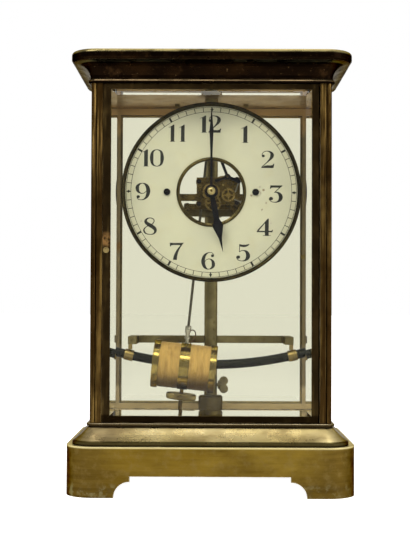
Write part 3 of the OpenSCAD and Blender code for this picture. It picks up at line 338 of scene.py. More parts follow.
def worn_base_brass():
    """Olive-gold cast brass, brushed along, darker low down, with painted shade at its round corners and a
    painted highlight along its rim.
    """
    f = Finish("worn_base_brass", (0.18, 0.108, 0.01), 0.3)
    f.paint(f.cloud(60, 0.4, 0.62, 3, (0.5, 0.5, 1)), (0.25, 0.162, 0.024), 0.8)
    f.paint(f.cloud(24, 0.46, 0.7, 5, (0.4, 0.4, 1)), (0.085, 0.047, 0.005), 0.7)
    # painted shade, growing darker towards the round corners where they turn away from the light
    f.paint(f.out_from_middle("X", 60, 96), (0.085, 0.05, 0.01), 0.65)
    f.paint(f.out_from_middle("X", 97, 108), (0.028, 0.015, 0.003), 0.85)
    f.paint(f.past("Z", 24, 2), (0.075, 0.043, 0.008), 0.6)
    f.paint(f.both(f.past("Z", 12, 3), f.cloud(7, 0.45, 0.62, 6)), (0.03, 0.018, 0.005), 0.7)
    brushed = f.cloud(3.2, 0.35, 0.65, 8, (0.05, 0.05, 1))
    f.paint(brushed, (0.29, 0.19, 0.035), 0.2)
    f.paint(f.cloud(1.6, 0.5, 0.7, 8, (0.04, 0.04, 1)), (0.09, 0.05, 0.006), 0.25)
    f.paint(f.cloud(7, 0.46, 0.68, 6), (0.25, 0.175, 0.055), 0.35)
    f.paint(f.both(f.past("Z", 13, 5), f.cloud(6, 0.5, 0.66, 6)), (0.3, 0.27, 0.13), 0.5)
    # a painted highlight along the top rim
    f.paint(f.past("Z", 35.8, 37.2), (0.85, 0.72, 0.34), 0.9)
    f.paint(f.both(f.edges(0.9), f.cloud(9, 0.3, 0.55)), (0.8, 0.7, 0.4), 0.75)
    f.paint(f.cloud(2.4, 0.68, 0.74, 6), (0.035, 0.02, 0.006), 0.6)
    f.polish(f.cloud(14, 0.4, 0.65, 6), 0.42)
    f.raise_by(brushed, 0.03, 0.5)
    f.raise_by(f.cloud(34, 0.3, 0.7), 0.35, 0.7)
    f.raise_by(f.cloud(5, 0.62, 0.7), 0.08, 0.6)
    return f.done()


def bright_moulding_brass():
    """The flared moulding: bright on its slope, browner to the left, with painted shade at its ends, in its
    grooves and below its slope, and a painted highlight along its top.
    """
    f = Finish("bright_moulding_brass", (0.34, 0.265, 0.11), 0.26)
    f.paint(f.cloud(30, 0.4, 0.65, 4, (0.5, 0.5, 1)), (0.46, 0.38, 0.2), 0.6)
    f.paint(f.cloud(10, 0.46, 0.66, 6, (0.4, 0.4, 1)), (0.16, 0.11, 0.04), 0.6)
    f.paint(f.past("X", -35, -85), (0.11, 0.075, 0.04), 0.6)
    # painted shade at the rounded ends
    f.paint(f.out_from_middle("X", 90, 104), (0.07, 0.045, 0.015), 0.7)
    brushed = f.cloud(3.0, 0.35, 0.65, 8, (0.05, 0.05, 1))
    f.paint(brushed, (0.44, 0.35, 0.16), 0.22)
    # painted shade from the groove under the bead up to the cage, a painted highlight along the top, then
    # painted shade in the two lines below the slope
    f.paint(f.between("Z", 49.6, 50.5, 51.5, 52.2), (0.015, 0.009, 0.004), 0.95)
    f.paint(f.past("Z", 51.2, 51.6), (0.045, 0.029, 0.011), 0.94)
    f.paint(f.past("Z", 52.9, 53.2), (0.4, 0.33, 0.2), 0.6)
    f.paint(f.past("Z", 41.3, 40.9), (0.045, 0.034, 0.01), 0.94)
    f.paint(f.past("Z", 38.7, 38.1), (0.008, 0.005, 0.002), 0.95)
    f.polish(f.cloud(12, 0.4, 0.65), 0.4)
    f.raise_by(brushed, 0.02, 0.5)
    f.raise_by(f.cloud(22, 0.3, 0.7), 0.25, 0.6)
    return f.done()


def black_patina():
    """Nearly black red-brown patina with brass showing on the rubbed edges, painted highlights along its top
    rim and in two thin lines, and painted shade above the cage.
    """
    f = Finish("black_patina", (0.006, 0.003, 0.0015), 0.2)
    f.paint(f.cloud(34, 0.42, 0.66), (0.02, 0.009, 0.003), 0.7)
    f.paint(f.cloud(9, 0.55, 0.7, 6), (0.045, 0.022, 0.008), 0.5)
    f.paint(f.both(f.edges(0.5), f.cloud(12, 0.38, 0.58)), (0.3, 0.21, 0.09), 0.75)
    top = f.faces("Z", 0.9, 0.98)
    f.paint(f.both(top, f.cloud(55, 0.36, 0.66)), (0.05, 0.032, 0.013), 0.75)
    # a painted highlight along the rounded top rim
    rim = f.both(f.past("Z", 331.6, 333.2), f.without(top))
    f.paint(f.both(rim, f.cloud(40, 0.3, 0.5)), (0.34, 0.28, 0.12), 0.8)
    # a painted highlight line below the rim, another above the cage, and painted shade under that
    f.paint(f.between("Z", 325.5, 325.8, 326.4, 326.7), (0.11, 0.1, 0.055), 0.8)
    f.paint(f.between("Z", 312.3, 312.6, 313.2, 313.5), (0.1, 0.07, 0.036), 0.8)
    f.paint(f.past("Z", 312.4, 312.1), (0.004, 0.002, 0.001), 0.9)
    f.paint(f.cloud(2.2, 0.66, 0.72), (0.16, 0.1, 0.04), 0.5)
    f.polish(f.cloud(16, 0.4, 0.62, 5), 0.4)
    f.raise_by(f.cloud(20, 0.3, 0.7), 0.15, 0.5)
    f.raise_by(f.cloud(3, 0.6, 0.7), 0.05, 0.5)
    return f.done()


def streaked_pillar_brass():
    """Brown lacquered brass with golden streaks down its length, and painted highlight streaks near its top.
    """
    f = Finish("streaked_pillar_brass", (0.034, 0.017, 0.004), 0.34)
    f.paint(f.cloud(26, 0.42, 0.62), (0.058, 0.031, 0.008), 0.7)
    streak = f.cloud(5.5, 0.5, 0.68, 6, (1, 1, 0.05))
    f.paint(f.both(streak, f.cloud(60, 0.36, 0.58)), (0.36, 0.225, 0.06), 0.6)
    f.paint(f.cloud(3, 0.58, 0.7, 8, (1, 1, 0.12)), (0.018, 0.01, 0.004), 0.75)
    # painted highlight streaks on the upper part of the pillars
    upper_highlight_streak = f.cloud(2.2, 0.5, 0.62, 4, (1, 1, 0.03))
    f.paint(f.both(upper_highlight_streak, f.past("Z", 215, 295)), (0.5, 0.31, 0.09), 0.6)
    f.paint(f.both(f.edges(0.7), f.cloud(16, 0.42, 0.6, 5, (1, 1, 0.3))), (0.42, 0.29, 0.1), 0.75)
    f.polish(f.cloud(12, 0.4, 0.62), 0.48)
    f.raise_by(f.cloud(2.5, 0.35, 0.65, 8, (1, 1, 0.06)), 0.03, 0.5)
    f.raise_by(f.cloud(18, 0.3, 0.7), 0.12, 0.5)
    return f.done()


def dark_stile_brass():
    """The door frames: darker and duller than the pillars, with a rubbed patch round the catch, and painted
    light on the rear door's inner rails.
    """
    f = Finish("dark_stile_brass", (0.02, 0.012, 0.0045), 0.36)
    f.paint(f.cloud(22, 0.42, 0.64), (0.04, 0.025, 0.008), 0.7)
    f.paint(f.cloud(3, 0.55, 0.7, 8, (1, 1, 0.1)), (0.016, 0.01, 0.004), 0.7)
    streak = f.cloud(6, 0.5, 0.68, 6, (1, 1, 0.08))
    f.paint(f.both(streak, f.cloud(50, 0.44, 0.64)), (0.2, 0.13, 0.042), 0.5)
    # the rear door's inner rails, which show through the glass, painted lighter to stand in for the light on
    # them, palest along the top and the bottom
    inside = f.both(f.past("Y", 40, 45), f.without(f.faces("Y", -0.8, -0.3)))
    f.paint(inside, (0.42, 0.33, 0.2), 0.9)
    f.paint(f.both(inside, f.past("Z", 284, 292)), (0.8, 0.55, 0.28), 0.9)
    f.paint(f.both(inside, f.past("Z", 76, 70)), (0.88, 0.72, 0.47), 0.9)
    f.paint(f.both(f.past("Z", 60.5, 59), f.past("Y", 0, -5)), (0.006, 0.003, 0.001), 0.8)
    patch = f.both(f.near((-79.3, -60, 192), "XZ", 2.2, 5), f.cloud(5, 0.35, 0.55))
    f.paint(patch, (0.34, 0.18, 0.06), 0.8)
    f.paint(f.both(f.edges(0.6), f.cloud(14, 0.45, 0.6)), (0.3, 0.21, 0.08), 0.7)
    f.polish(f.cloud(12, 0.4, 0.62), 0.5)
    f.raise_by(f.cloud(2.5, 0.35, 0.65, 8, (1, 1, 0.06)), 0.03, 0.5)
    f.raise_by(f.cloud(16, 0.3, 0.7), 0.1, 0.5)
    return f.done()


lay_on(worn_base_brass(), "plinth")
lay_on(bright_moulding_brass(), "plinth_moulding")
lay_on(black_patina(), "cornice", "column_nuts")
lay_on(streaked_pillar_brass(), "pillars", "side_frames")
lay_on(dark_stile_brass(), "front_door_frame", "rear_door_frame")


# inside of the case, works and dial

def lacquered_inner_brass(name, colour, spot, gloss=0.34):
    """Dull lacquered brass of the column, bars and brackets, spotted where the lacquer has gone."""
    f = Finish(name, colour, gloss)
    light = tuple(min(1.0, c * 1.75) for c in colour)
    f.paint(f.cloud(15, 0.42, 0.64), light, 0.5)
    f.paint(f.cloud(6, 0.56, 0.68, 6), spot, 0.6)
    f.paint(f.both(f.edges(0.5), f.cloud(8, 0.38, 0.6)), (0.55, 0.43, 0.2), 0.55)
    f.paint(f.cloud(1.4, 0.66, 0.72), spot, 0.6)
    f.polish(f.cloud(9, 0.42, 0.64), gloss + 0.1)
    f.raise_by(f.cloud(10, 0.3, 0.7), 0.06, 0.5)
    return f.done()


def ceiling_brass():
    """The underside of the top: brown lacquer, lighter and darker in patches."""
    f = Finish("ceiling_brass", (0.36, 0.235, 0.105), 0.42)
    f.shader.inputs["Specular Tint"].default_value = FULL_EDGE
    f.paint(f.cloud(30, 0.4, 0.64), (0.46, 0.32, 0.155), 0.6)
    f.paint(f.cloud(8, 0.54, 0.68, 6), (0.13, 0.085, 0.036), 0.5)
    f.polish(f.cloud(14, 0.4, 0.62), 0.54)
    f.raise_by(f.cloud(18, 0.3, 0.7), 0.1, 0.5)
    return f.done()


def floor_brass():
    """The floor inside the case: pale brass, spotted, and darker in a round patch under the pendulum."""
    f = Finish("floor_brass", (0.62, 0.52, 0.31), 0.24)
    f.shader.inputs["Specular Tint"].default_value = FULL_EDGE
    f.paint(f.cloud(32, 0.4, 0.62), (0.74, 0.65, 0.43), 0.6)
    f.paint(f.cloud(7, 0.54, 0.68, 6), (0.2, 0.135, 0.055), 0.55)
    f.paint(f.near((0, -16, 0), "XY", 26, 22), (0.36, 0.28, 0.14), 0.4)
    f.paint(f.cloud(1.6, 0.66, 0.72), (0.1, 0.065, 0.025), 0.6)
    f.polish(f.cloud(12, 0.4, 0.64), 0.44)
    f.raise_by(f.cloud(3, 0.35, 0.65, 8, (0.05, 1, 1)), 0.015, 0.4)
    return f.done()


def satin_movement_brass(name, colour):
    """Fine-grained brass of the plates and wheels, dark where the lacquer has gone."""
    f = Finish(name, colour, 0.26)
    f.paint(f.cloud(9, 0.45, 0.66), tuple(c * 1.9 for c in colour), 0.55)
    f.paint(f.cloud(5, 0.48, 0.66, 6), tuple(c * 0.4 for c in colour), 0.65)
    f.paint(f.edges(0.2), (0.75, 0.62, 0.34), 0.5)
    f.polish(f.cloud(6, 0.42, 0.64), 0.38)
    f.raise_by(f.cloud(0.9, 0.35, 0.65, 6, (0.1, 1, 1)), 0.006, 0.5)
    return f.done()


def tarnished_bezel_brass(name, colour):
    """The rims of the dial: dark brown brass with a thin rubbed inner edge."""
    f = Finish(name, colour, 0.3)
    f.paint(f.cloud(14, 0.42, 0.62), tuple(c * 1.8 for c in colour), 0.6)
    f.paint(f.cloud(5, 0.56, 0.68, 6), (0.04, 0.028, 0.012), 0.6)
    f.paint(f.both(f.edges(0.35), f.cloud(10, 0.36, 0.58)), (0.36, 0.28, 0.13), 0.5)
    f.polish(f.cloud(7, 0.42, 0.64), 0.45)
    f.raise_by(f.cloud(8, 0.3, 0.7), 0.04, 0.5)
    return f.done()


def blued_steel():
    """Old blued steel, nearly black, with a violet-brown cast and fine rust freckles."""
    f = Finish("blued_steel", (0.018, 0.019, 0.026), 0.3)
    f.paint(f.cloud(7, 0.44, 0.64), (0.032, 0.026, 0.03), 0.7)
    f.paint(f.cloud(1.3, 0.64, 0.72), (0.09, 0.05, 0.025), 0.6)
    f.paint(f.edges(0.15), (0.14, 0.14, 0.15), 0.5)
    f.polish(f.cloud(4, 0.42, 0.64), 0.42)
    return f.done()


def drawn_steel(name, colour):
    """Drawn steel wire and pins, grey, a little brown at places."""
    f = Finish(name, colour, 0.28)
    f.paint(f.cloud(7, 0.42, 0.64), tuple(c * 1.5 for c in colour), 0.6)
    f.paint(f.cloud(3, 0.58, 0.7, 6), (0.13, 0.085, 0.05), 0.6)
    f.polish(f.cloud(5, 0.4, 0.64), 0.42)
    f.raise_by(f.cloud(1.2, 0.35, 0.65, 6, (1, 1, 0.1)), 0.01, 0.4)
    return f.done()


def dull_nickel():
    """Nickel plate gone yellowish and cloudy."""
    f = Finish("dull_nickel", (0.42, 0.4, 0.35), 0.26)
    f.paint(f.cloud(4, 0.42, 0.64), (0.56, 0.54, 0.49), 0.6)
    f.paint(f.cloud(1.8, 0.6, 0.7, 6), (0.24, 0.19, 0.12), 0.5)
    f.polish(f.cloud(3, 0.42, 0.64), 0.4)
    return f.done()


def blackened_iron():
    """The bar magnet: smooth black paint over iron, greenish grey where it is thin."""
    f = Finish("blackened_iron", (0.01, 0.012, 0.009), 0.34, 0.3)
    f.paint(f.cloud(10, 0.44, 0.66), (0.02, 0.024, 0.018), 0.7)
    f.paint(f.cloud(2.4, 0.62, 0.72, 6), (0.07, 0.055, 0.035), 0.5)
    f.paint(f.both(f.edges(0.6), f.cloud(8, 0.42, 0.62)), (0.15, 0.15, 0.15), 0.5)
    f.polish(f.cloud(8, 0.42, 0.64), 0.44)
    f.raise_by(f.cloud(4, 0.35, 0.65), 0.04, 0.5)
    return f.done()


# the chips in the dial's paint: across and up from the dial's middle, and their radius
CHIPS = ((37.5, -0.6, 2.2), (40.6, 1.6, 1.5), (37.8, 4.3, 1.3), (42.6, -8.4, 1.0), (39.2, -13.5, 1.3),
         (-54.6, -22.4, 1.6), (31.0, -2.6, 1.4), (46.4, -24.2, 0.8))


def old_cream_enamel():
    """The dial: cream paint, faintly clouded, yellower at its rims, with small chips down to the ground."""
    f = Finish("old_cream_enamel", (0.775, 0.765, 0.665), 0.36, 0.0)
    dial_middle = (0, DIAL_FRONT, DIAL_Z)
    f.paint(f.cloud(38, 0.4, 0.64), (0.86, 0.845, 0.705), 0.6)
    f.paint(f.cloud(12, 0.5, 0.7, 6), (0.76, 0.715, 0.53), 0.35)
    f.paint(f.without(f.near(dial_middle, "XZ", 60, 9)), (0.73, 0.68, 0.49), 0.55)
    f.paint(f.near(dial_middle, "XZ", 25.5, 4), (0.74, 0.69, 0.5), 0.55)
    f.paint(f.cloud(1.1, 0.66, 0.72, 5), (0.4, 0.31, 0.17), 0.35)
    ragged = f.cloud(2.1, 0.34, 0.56, 6)
    chips = None
    for x, z, radius in CHIPS:
        spot = f.near((x, DIAL_FRONT, DIAL_Z + z), "XZ", radius * 0.35, radius * 0.8)
        chips = spot if chips is None else f.either(chips, spot)
    worn = f.spread(f.both(chips, f.sums("ADD", ragged, 0.35)), 0.3, 0.45)
    f.paint(worn, (0.8, 0.79, 0.72), 0.9)
    core = f.spread(f.both(chips, ragged), 0.62, 0.74)
    f.paint(core, (0.3, 0.2, 0.09), 0.8)
    f.polish(worn, 0.7)
    f.polish(f.cloud(16, 0.4, 0.66), 0.44)
    f.raise_by(worn, -0.08, 0.8)
    f.raise_by(f.cloud(14, 0.3, 0.7), 0.03, 0.5)
    f.shader.inputs["Coat Weight"].default_value = 0.25
    f.shader.inputs["Coat Roughness"].default_value = 0.2
    return f.done()


def printed_black():
    """Printed figures, very slightly worn through."""
    f = Finish("printed_black", (0.012, 0.013, 0.016), 0.42, 0.0)
    f.paint(f.cloud(3, 0.45, 0.7), (0.018, 0.018, 0.02), 0.7)
    f.paint(f.cloud(0.8, 0.66, 0.74), (0.09, 0.085, 0.06), 0.5)
    return f.done()


def silk_wire(name, colour, shade):
    """Silk-covered wire: fine sheen, a little lighter and darker from turn to turn, with painted shade on
    its lower part.
    """
    f = Finish(name, colour, 0.62, 0.0)
    light = tuple(min(1.0, c * 1.28) for c in colour)
    f.paint(f.cloud(1.5, 0.4, 0.62, 3, (1, 0.12, 0.12), (0, -REST_ANGLE, 0)), light, 0.6)
    f.paint(f.cloud(3.6, 0.5, 0.68, 4, (1, 0.3, 0.3), (0, -REST_ANGLE, 0)), shade, 0.45)
    f.paint(f.cloud(9, 0.56, 0.7, 6), shade, 0.4)
    # painted shade on the lower part of the coil
    f.paint(f.past("Z", 93, 79), tuple(c * 0.36 for c in shade), 0.92)
    f.raise_by(f.cloud(0.35, 0.3, 0.7, 3, (1, 1, 0.4)), 0.03, 0.5)
    f.shader.inputs["Specular IOR Level"].default_value = 0.2
    f.shader.inputs["Sheen Weight"].default_value = 0.12
    f.shader.inputs["Sheen Roughness"].default_value = 0.4
    return f.done()


def braided_cotton():
    """The thin lead: brown braided cotton."""
    f = Finish("braided_cotton", (0.075, 0.036, 0.02), 0.75, 0.0)
    f.paint(f.cloud(0.7, 0.45, 0.6, 3), (0.14, 0.075, 0.04), 0.7)
    f.raise_by(f.cloud(0.5, 0.35, 0.65, 3), 0.06, 0.7)
    return f.done()


def dark_paper_sleeve():
    """The dry battery's plain paper sleeve."""
    f = Finish("dark_paper_sleeve", (0.045, 0.06, 0.1), 0.6, 0.0)
    f.paint(f.cloud(12, 0.42, 0.66), (0.065, 0.08, 0.12), 0.7)
    f.paint(f.cloud(2.4, 0.62, 0.72), (0.16, 0.16, 0.16), 0.5)
    f.raise_by(f.cloud(1.2, 0.35, 0.65), 0.03, 0.4)
    return f.done()


def old_glass(name, tint):
    """Bevelled plate glass with its green-yellow tint, and faint dust that dulls it in places."""
    f = Finish(name, tint, 0.0, 0.0)
    f.polish(f.cloud(50, 0.5, 0.7), 0.012)
    f.shader.inputs["Transmission Weight"].default_value = 1.0
    f.shader.inputs["IOR"].default_value = 1.5
    f.shader.inputs["Specular Tint"].default_value = (0.3, 0.3, 0.3, 1)
    f.done()
    clear = f.node("ShaderNodeBsdfTransparent")
    clear.inputs["Color"].default_value = (0.92, 0.92, 0.84, 1)
    path = f.node("ShaderNodeLightPath")
    mixed = f.node("ShaderNodeMixShader")
    f.feed(mixed.inputs[0], path.outputs["Is Shadow Ray"])
    f.feed(mixed.inputs[1], f.shader.outputs[0])
    f.feed(mixed.inputs[2], clear.outputs[0])
    f.feed(f.tree.nodes["Material Output"].inputs["Surface"], mixed.outputs[0])
    return f.material


lay_on(lacquered_inner_brass("lacquered_inner_brass", (0.2, 0.165, 0.085), (0.085, 0.06, 0.028)),
       "column", "binding_screw", "magnet_bracket", "suspension_cock", "movement_bracket", "bottom_cover",
       "battery_clips", "ceiling_nuts")
lay_on(lacquered_inner_brass("golden_clamp_brass", (0.33, 0.245, 0.095), (0.1, 0.06, 0.02)),
       "magnet_clamps", "front_catch", "rear_catch")
lay_on(lacquered_inner_brass("polished_bobbin_brass", (0.29, 0.215, 0.065), (0.07, 0.042, 0.012), 0.17),
       "coil_bobbin")
lay_on(lacquered_inner_brass("dark_nut_brass", (0.13, 0.085, 0.025), (0.04, 0.024, 0.008)),
       "rating_nut", "rating_screw")
lay_on(lacquered_inner_brass("dark_socket_brass", (0.15, 0.115, 0.05), (0.06, 0.045, 0.02), 0.42),
       "column_socket")
lay_on(ceiling_brass(), "ceiling_plate")
lay_on(floor_brass(), "case_floor")
lay_on(satin_movement_brass("dark_plate_brass", (0.12, 0.085, 0.032)), "front_plate", "back_plate")
lay_on(satin_movement_brass("golden_wheel_brass", (0.34, 0.235, 0.08)), "minute_arbor", "minute_wheel",
       "hour_wheel", "second_wheel", "ratchet_wheel", "movement_pillars")
# the hand nut: golden brass, painted lighter to stand in for its highlight
lay_on(lacquered_inner_brass("bright_nut_brass", (0.62, 0.5, 0.26), (0.3, 0.2, 0.08), 0.3), "hand_nut")
lay_on(tarnished_bezel_brass("tarnished_bezel_brass", (0.021, 0.017, 0.007)), "dial_bezel")
lay_on(tarnished_bezel_brass("window_ring_brass", (0.055, 0.043, 0.018)), "window_bezel")
lay_on(blued_steel(), "minute_hand", "hour_hand", "dial_screws", "plate_screws", "drive_lever")
lay_on(drawn_steel("drawn_steel", (0.25, 0.245, 0.23)), "cover_screws", "hinge_pins", "bracket_screw",
       "suspension_pin", "suspension_spring", "drive_pawl", "detent_click")
lay_on(drawn_steel("dark_rod_steel", (0.12, 0.112, 0.09)), "pendulum_rod")
lay_on(dull_nickel(), "pendulum_hook")
lay_on(blackened_iron(), "magnet")
lay_on(old_cream_enamel(), "dial_plate")
SILK = silk_wire("orange_silk_wire", (0.66, 0.43, 0.145), (0.36, 0.2, 0.055))
lay_on(SILK, "coil_turns", "coil_cores")
lay_on(braided_cotton(), "coil_lead")
lay_on(dark_paper_sleeve(), "battery")
lay_on(old_glass("green_tinted_glass", (0.861, 0.856, 0.748)), "front_door_glass", "rear_door_glass",
       "side_glass_left", "side_glass_right")


# bench tools

# points nearer to each other than this, in metres, are merged
SAME_POINT = 0.000001


def clear_bench():
    if bpy.context.object and bpy.context.object.mode != "OBJECT":
        bpy.ops.object.mode_set(mode="OBJECT")
    bpy.ops.object.select_all(action="DESELECT")


def take(*parts):
    clear_bench()
    for part in parts:
        part.select_set(True)
    bpy.context.view_layer.objects.active = parts[0]


def open_part(part, mode="VERT"):
    take(part)
    bpy.ops.object.mode_set(mode="EDIT")
    bpy.ops.mesh.select_mode(type=mode)
    bpy.ops.mesh.select_all(action="DESELECT")


def close_part():
    bpy.ops.object.mode_set(mode="OBJECT")


def pick(kind, wanted):
    """Selects the edges or faces of the open part for which wanted is true, and nothing else."""
    bpy.ops.mesh.select_all(action="DESELECT")
    mesh = bpy.context.object.data
    work = bmesh.from_edit_mesh(mesh)
    for element in getattr(work, kind):
        if wanted(element):
            element.select_set(True)
    work.select_flush_mode()
    bmesh.update_edit_mesh(mesh)


def middle(edge):
    return sum((v.co for v in edge.verts), Vector()) / len(edge.verts)


def outside_out(part):
    open_part(part)
    bpy.ops.mesh.select_all(action="SELECT")
    bpy.ops.mesh.remove_doubles(threshold=SAME_POINT)
    bpy.ops.mesh.normals_make_consistent(inside=False)
    close_part()


def apply_tool(part, kind, **settings):
    take(part)
    tool = part.modifiers.new(kind.lower(), kind)
    for name, value in settings.items():
        setattr(tool, name, value)
    bpy.ops.object.modifier_apply(modifier=tool.name)


def settle(part, place=None):
    """Puts the part where it belongs and leaves its object at the origin."""
    take(part)
    bpy.ops.object.transform_apply(location=True, rotation=True, scale=True)
    if place is not None:
        part.data.transform(place)
    part.data.update()


def fit(part, name, material, body, *stands_for):
    part.name = part.data.name = name
    part.data.materials.clear()
    part.data.materials.append(material)
    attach(part, body)
    if stands_for:
        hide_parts(*stands_for)


def joined(name, parts):
    take(*parts)
    bpy.ops.object.join()
    bpy.context.object.name = name
    return bpy.context.object


# from the pendulum hanging straight below its pivot to where it stands in the photograph
SWUNG = Matrix.Translation(PIVOT) @ Matrix.Rotation(math.radians(REST_ANGLE), 4, "Y")


# printing on the dial

# A figure is drawn 100 high. Strokes and rings run through (x, y, width of the pen), shapes are outlines,
# and dots are (x, y, radius).
FIGURES = {
    "0": [("ring", [(39, 98, 4), (16, 86, 12), (10, 50, 20), (16, 14, 12), (39, 2, 4), (62, 14, 12),
                    (68, 50, 20), (62, 86, 12)])],
    "1": [("shape", [(0, 85), (7, 86.5), (17, 92), (27, 100), (33, 100), (33, 3), (38, 2), (38, 0), (7, 0),
                     (7, 2), (12, 3), (12, 84), (0, 83)])],
    "2": [("dot", (12, 70, 8)),
          ("stroke", [(5, 70, 3), (8, 86, 3.5), (20, 96, 4), (34, 98, 4.5), (49, 93, 10), (57, 83, 17),
                      (58, 71, 19), (53, 58, 15), (42, 44, 9), (27, 28, 5), (12, 13, 4.5), (3, 3, 4)]),
          ("shape", [(1, 0), (66, 0), (70, 25), (66, 25), (61, 18), (50, 15), (34, 16), (20, 13), (8, 6)])],
    "3": [("shape", [(12, 79), (15, 100), (76, 100), (76, 96), (66, 87), (30, 87), (20, 86), (16, 79)]),
          ("stroke", [(71, 97, 5), (54, 78, 4.5), (36, 58, 4)]),
          ("dot", (19, 23, 10)),
          ("stroke", [(35, 58, 4), (46, 60, 6), (57, 55, 12), (65, 44, 18), (68, 30, 20), (63, 14, 16),
                      (50, 4, 8), (36, 2, 4), (22, 5, 4), (11, 16, 4), (10, 23, 4)])],
    "4": [("shape", [(45, 0), (66, 0), (66, 100), (60, 100), (45, 78)]),
          ("stroke", [(58, 95, 4), (33, 62, 6), (6, 29, 9)]),
          ("shape", [(0, 21), (86, 21), (89, 35), (85, 35), (80, 29), (2, 29)]),
          ("shape", [(34, 0), (77, 0), (77, 3), (34, 3)])],
    "5": [("shape", [(16, 100), (30, 96), (46, 96), (66, 101), (62, 92), (50, 84), (36, 82), (16, 86)]),
          ("stroke", [(17.5, 99, 3.5), (17, 76, 3.5), (16.5, 54, 3.5)]),
          ("dot", (11, 24, 9.5)),
          ("stroke", [(16, 54, 3.5), (26, 61, 4.5), (38, 62, 6), (50, 57, 12), (57, 44, 18), (59, 30, 20),
                      (54, 14, 16), (42, 4, 8), (28, 2, 4), (13, 6, 4), (4, 18, 4), (3, 24, 4)])],
    "6": [("dot", (61, 80, 8.5)),
          ("stroke", [(68, 80, 3), (65, 90, 3.5), (56, 97, 4), (44, 98, 4), (30, 93, 8), (17, 78, 15),
                      (11, 58, 19), (11, 38, 20), (18, 16, 16), (30, 4, 8), (41, 2, 4), (54, 6, 9),
                      (64, 18, 16), (66, 32, 18), (62, 48, 14), (52, 58, 7), (41, 61, 4), (28, 56, 3.5),
                      (20, 44, 3)])],
    "7": [("shape", [(0, 100), (1, 77), (4, 77), (9, 84), (20, 86), (56, 86), (70, 92), (74, 101), (66, 99),
                     (20, 98)]),
          ("stroke", [(68, 96, 6), (55, 77, 8), (42, 54, 12), (33, 30, 17), (29, 10, 20), (28, 0, 21)])],
    "8": [("ring", [(59, 80, 5), (53, 93, 4.5), (38, 98, 4), (23, 93, 8), (15, 80, 14), (21, 67, 18),
                    (38, 55, 21), (57, 41, 20), (66, 26, 15), (61, 10, 9), (48, 2.5, 5), (37, 2, 4),
                    (19, 6, 6), (8, 18, 8), (7, 31, 7), (16, 44, 5), (32, 54, 4), (50, 63, 5)])],
}
# how wide each figure is on that drawing, and the room between two of them; a 9 is a 6 turned round
FIGURE_WIDE = {"0": 78, "1": 38, "2": 70, "3": 78, "4": 89, "5": 68, "6": 76, "7": 74, "8": 76}
BETWEEN, BETWEEN_ONES = 6, 22

# each number, its middle across and up from the dial's middle, and its width
NUMBERS = (("1", 25.6, 45.3, 5.6), ("2", 43.6, 25.8, 10.4), ("3", 49.6, -1.1, 12.0),
           ("4", 41.8, -27.1, 12.7), ("5", 25.0, -47.0, 10.8), ("6", -1.9, -53.6, 10.9),
           ("7", -26.5, -46.4, 10.8), ("8", -47.4, -27.0, 11.4), ("9", -53.3, -0.1, 11.7),
           ("10", -45.7, 26.2, 17.1), ("11", -27.1, 45.7, 13.1), ("12", -1.1, 53.0, 16.6))
FIGURE_HIGH = 13.4

# the two circles of the minute track, their width, and how the print lies on the dial
TRACK_IN, TRACK_OUT, CIRCLE_WIDE = 62.6, 66.3, 0.36
PRINT_THICK, PRINT_PROUD, PRINT_TURN = 0.04, 0.05, 0.3

# a stroke is cut into runs of this many steps, so that none crosses itself
RUN = 8


def smoothed(points, ring, parts=5):
    """Extra points on the smooth line through the given ones."""
    count, line = len(points), []
    for i in range(count if ring else count - 1):
        near = range(i - 1, i + 3)
        a, b, c, d = (points[k % count] if ring else points[min(max(k, 0), count - 1)] for k in near)
        for step in range(parts):
            t = step / parts
            line.append([0.5 * (2 * q + (r - p) * t + (2 * p - 5 * q + 4 * r - s) * t * t
                                + (3 * q - p - 3 * r + s) * t ** 3) for p, q, r, s in zip(a, b, c, d)])
    if not ring:
        line.append(list(points[-1]))
    return line


def pen_sides(points, ring):
    """The two sides that a pen leaves along a smooth line."""
    line = smoothed(points, ring)
    count, left, right = len(line), [], []
    for i, (x, y, wide) in enumerate(line):
        ahead = line[(i + 1) % count] if ring else line[min(i + 1, count - 1)]
        behind = line[i - 1] if ring or i else line[0]
        run = Vector((ahead[0] - behind[0], ahead[1] - behind[1])).normalized()
        left.append((x - run.y * wide / 2, y + run.x * wide / 2))
        right.append((x + run.y * wide / 2, y - run.x * wide / 2))
    return left, right


def outlines(kind, data):
    """The outlines of one shape, dot, ring or stroke."""
    if kind == "shape":
        return [data]
    if kind == "dot":
        x, y, r = data
        return [[(x + r * math.cos(a), y + r * math.sin(a)) for a in (math.tau * i / 20 for i in range(20))]]
    left, right = pen_sides(data, kind == "ring")
    if kind == "ring":
        left, right = left + left[:1], right + right[:1]
    return [left[i:i + RUN + 1] + right[i:i + RUN + 1][::-1] for i in range(0, len(left) - 1, RUN)]


def cut_out(loops):
    """A flat piece of print with these outlines, in dial coordinates, drawn as a curve and filled."""
    curve = bpy.data.curves.new("print", "CURVE")
    curve.dimensions, curve.fill_mode = "2D", "BOTH"
    for loop in loops:
        line = curve.splines.new("POLY")
        line.points.add(len(loop) - 1)
        for point, (x, y) in zip(line.points, loop):
            point.co = (x * MM, y * MM, 0, 1)
        line.use_cyclic_u = True
    piece = bpy.data.objects.new("print", curve)
    bpy.context.scene.collection.objects.link(piece)
    return piece


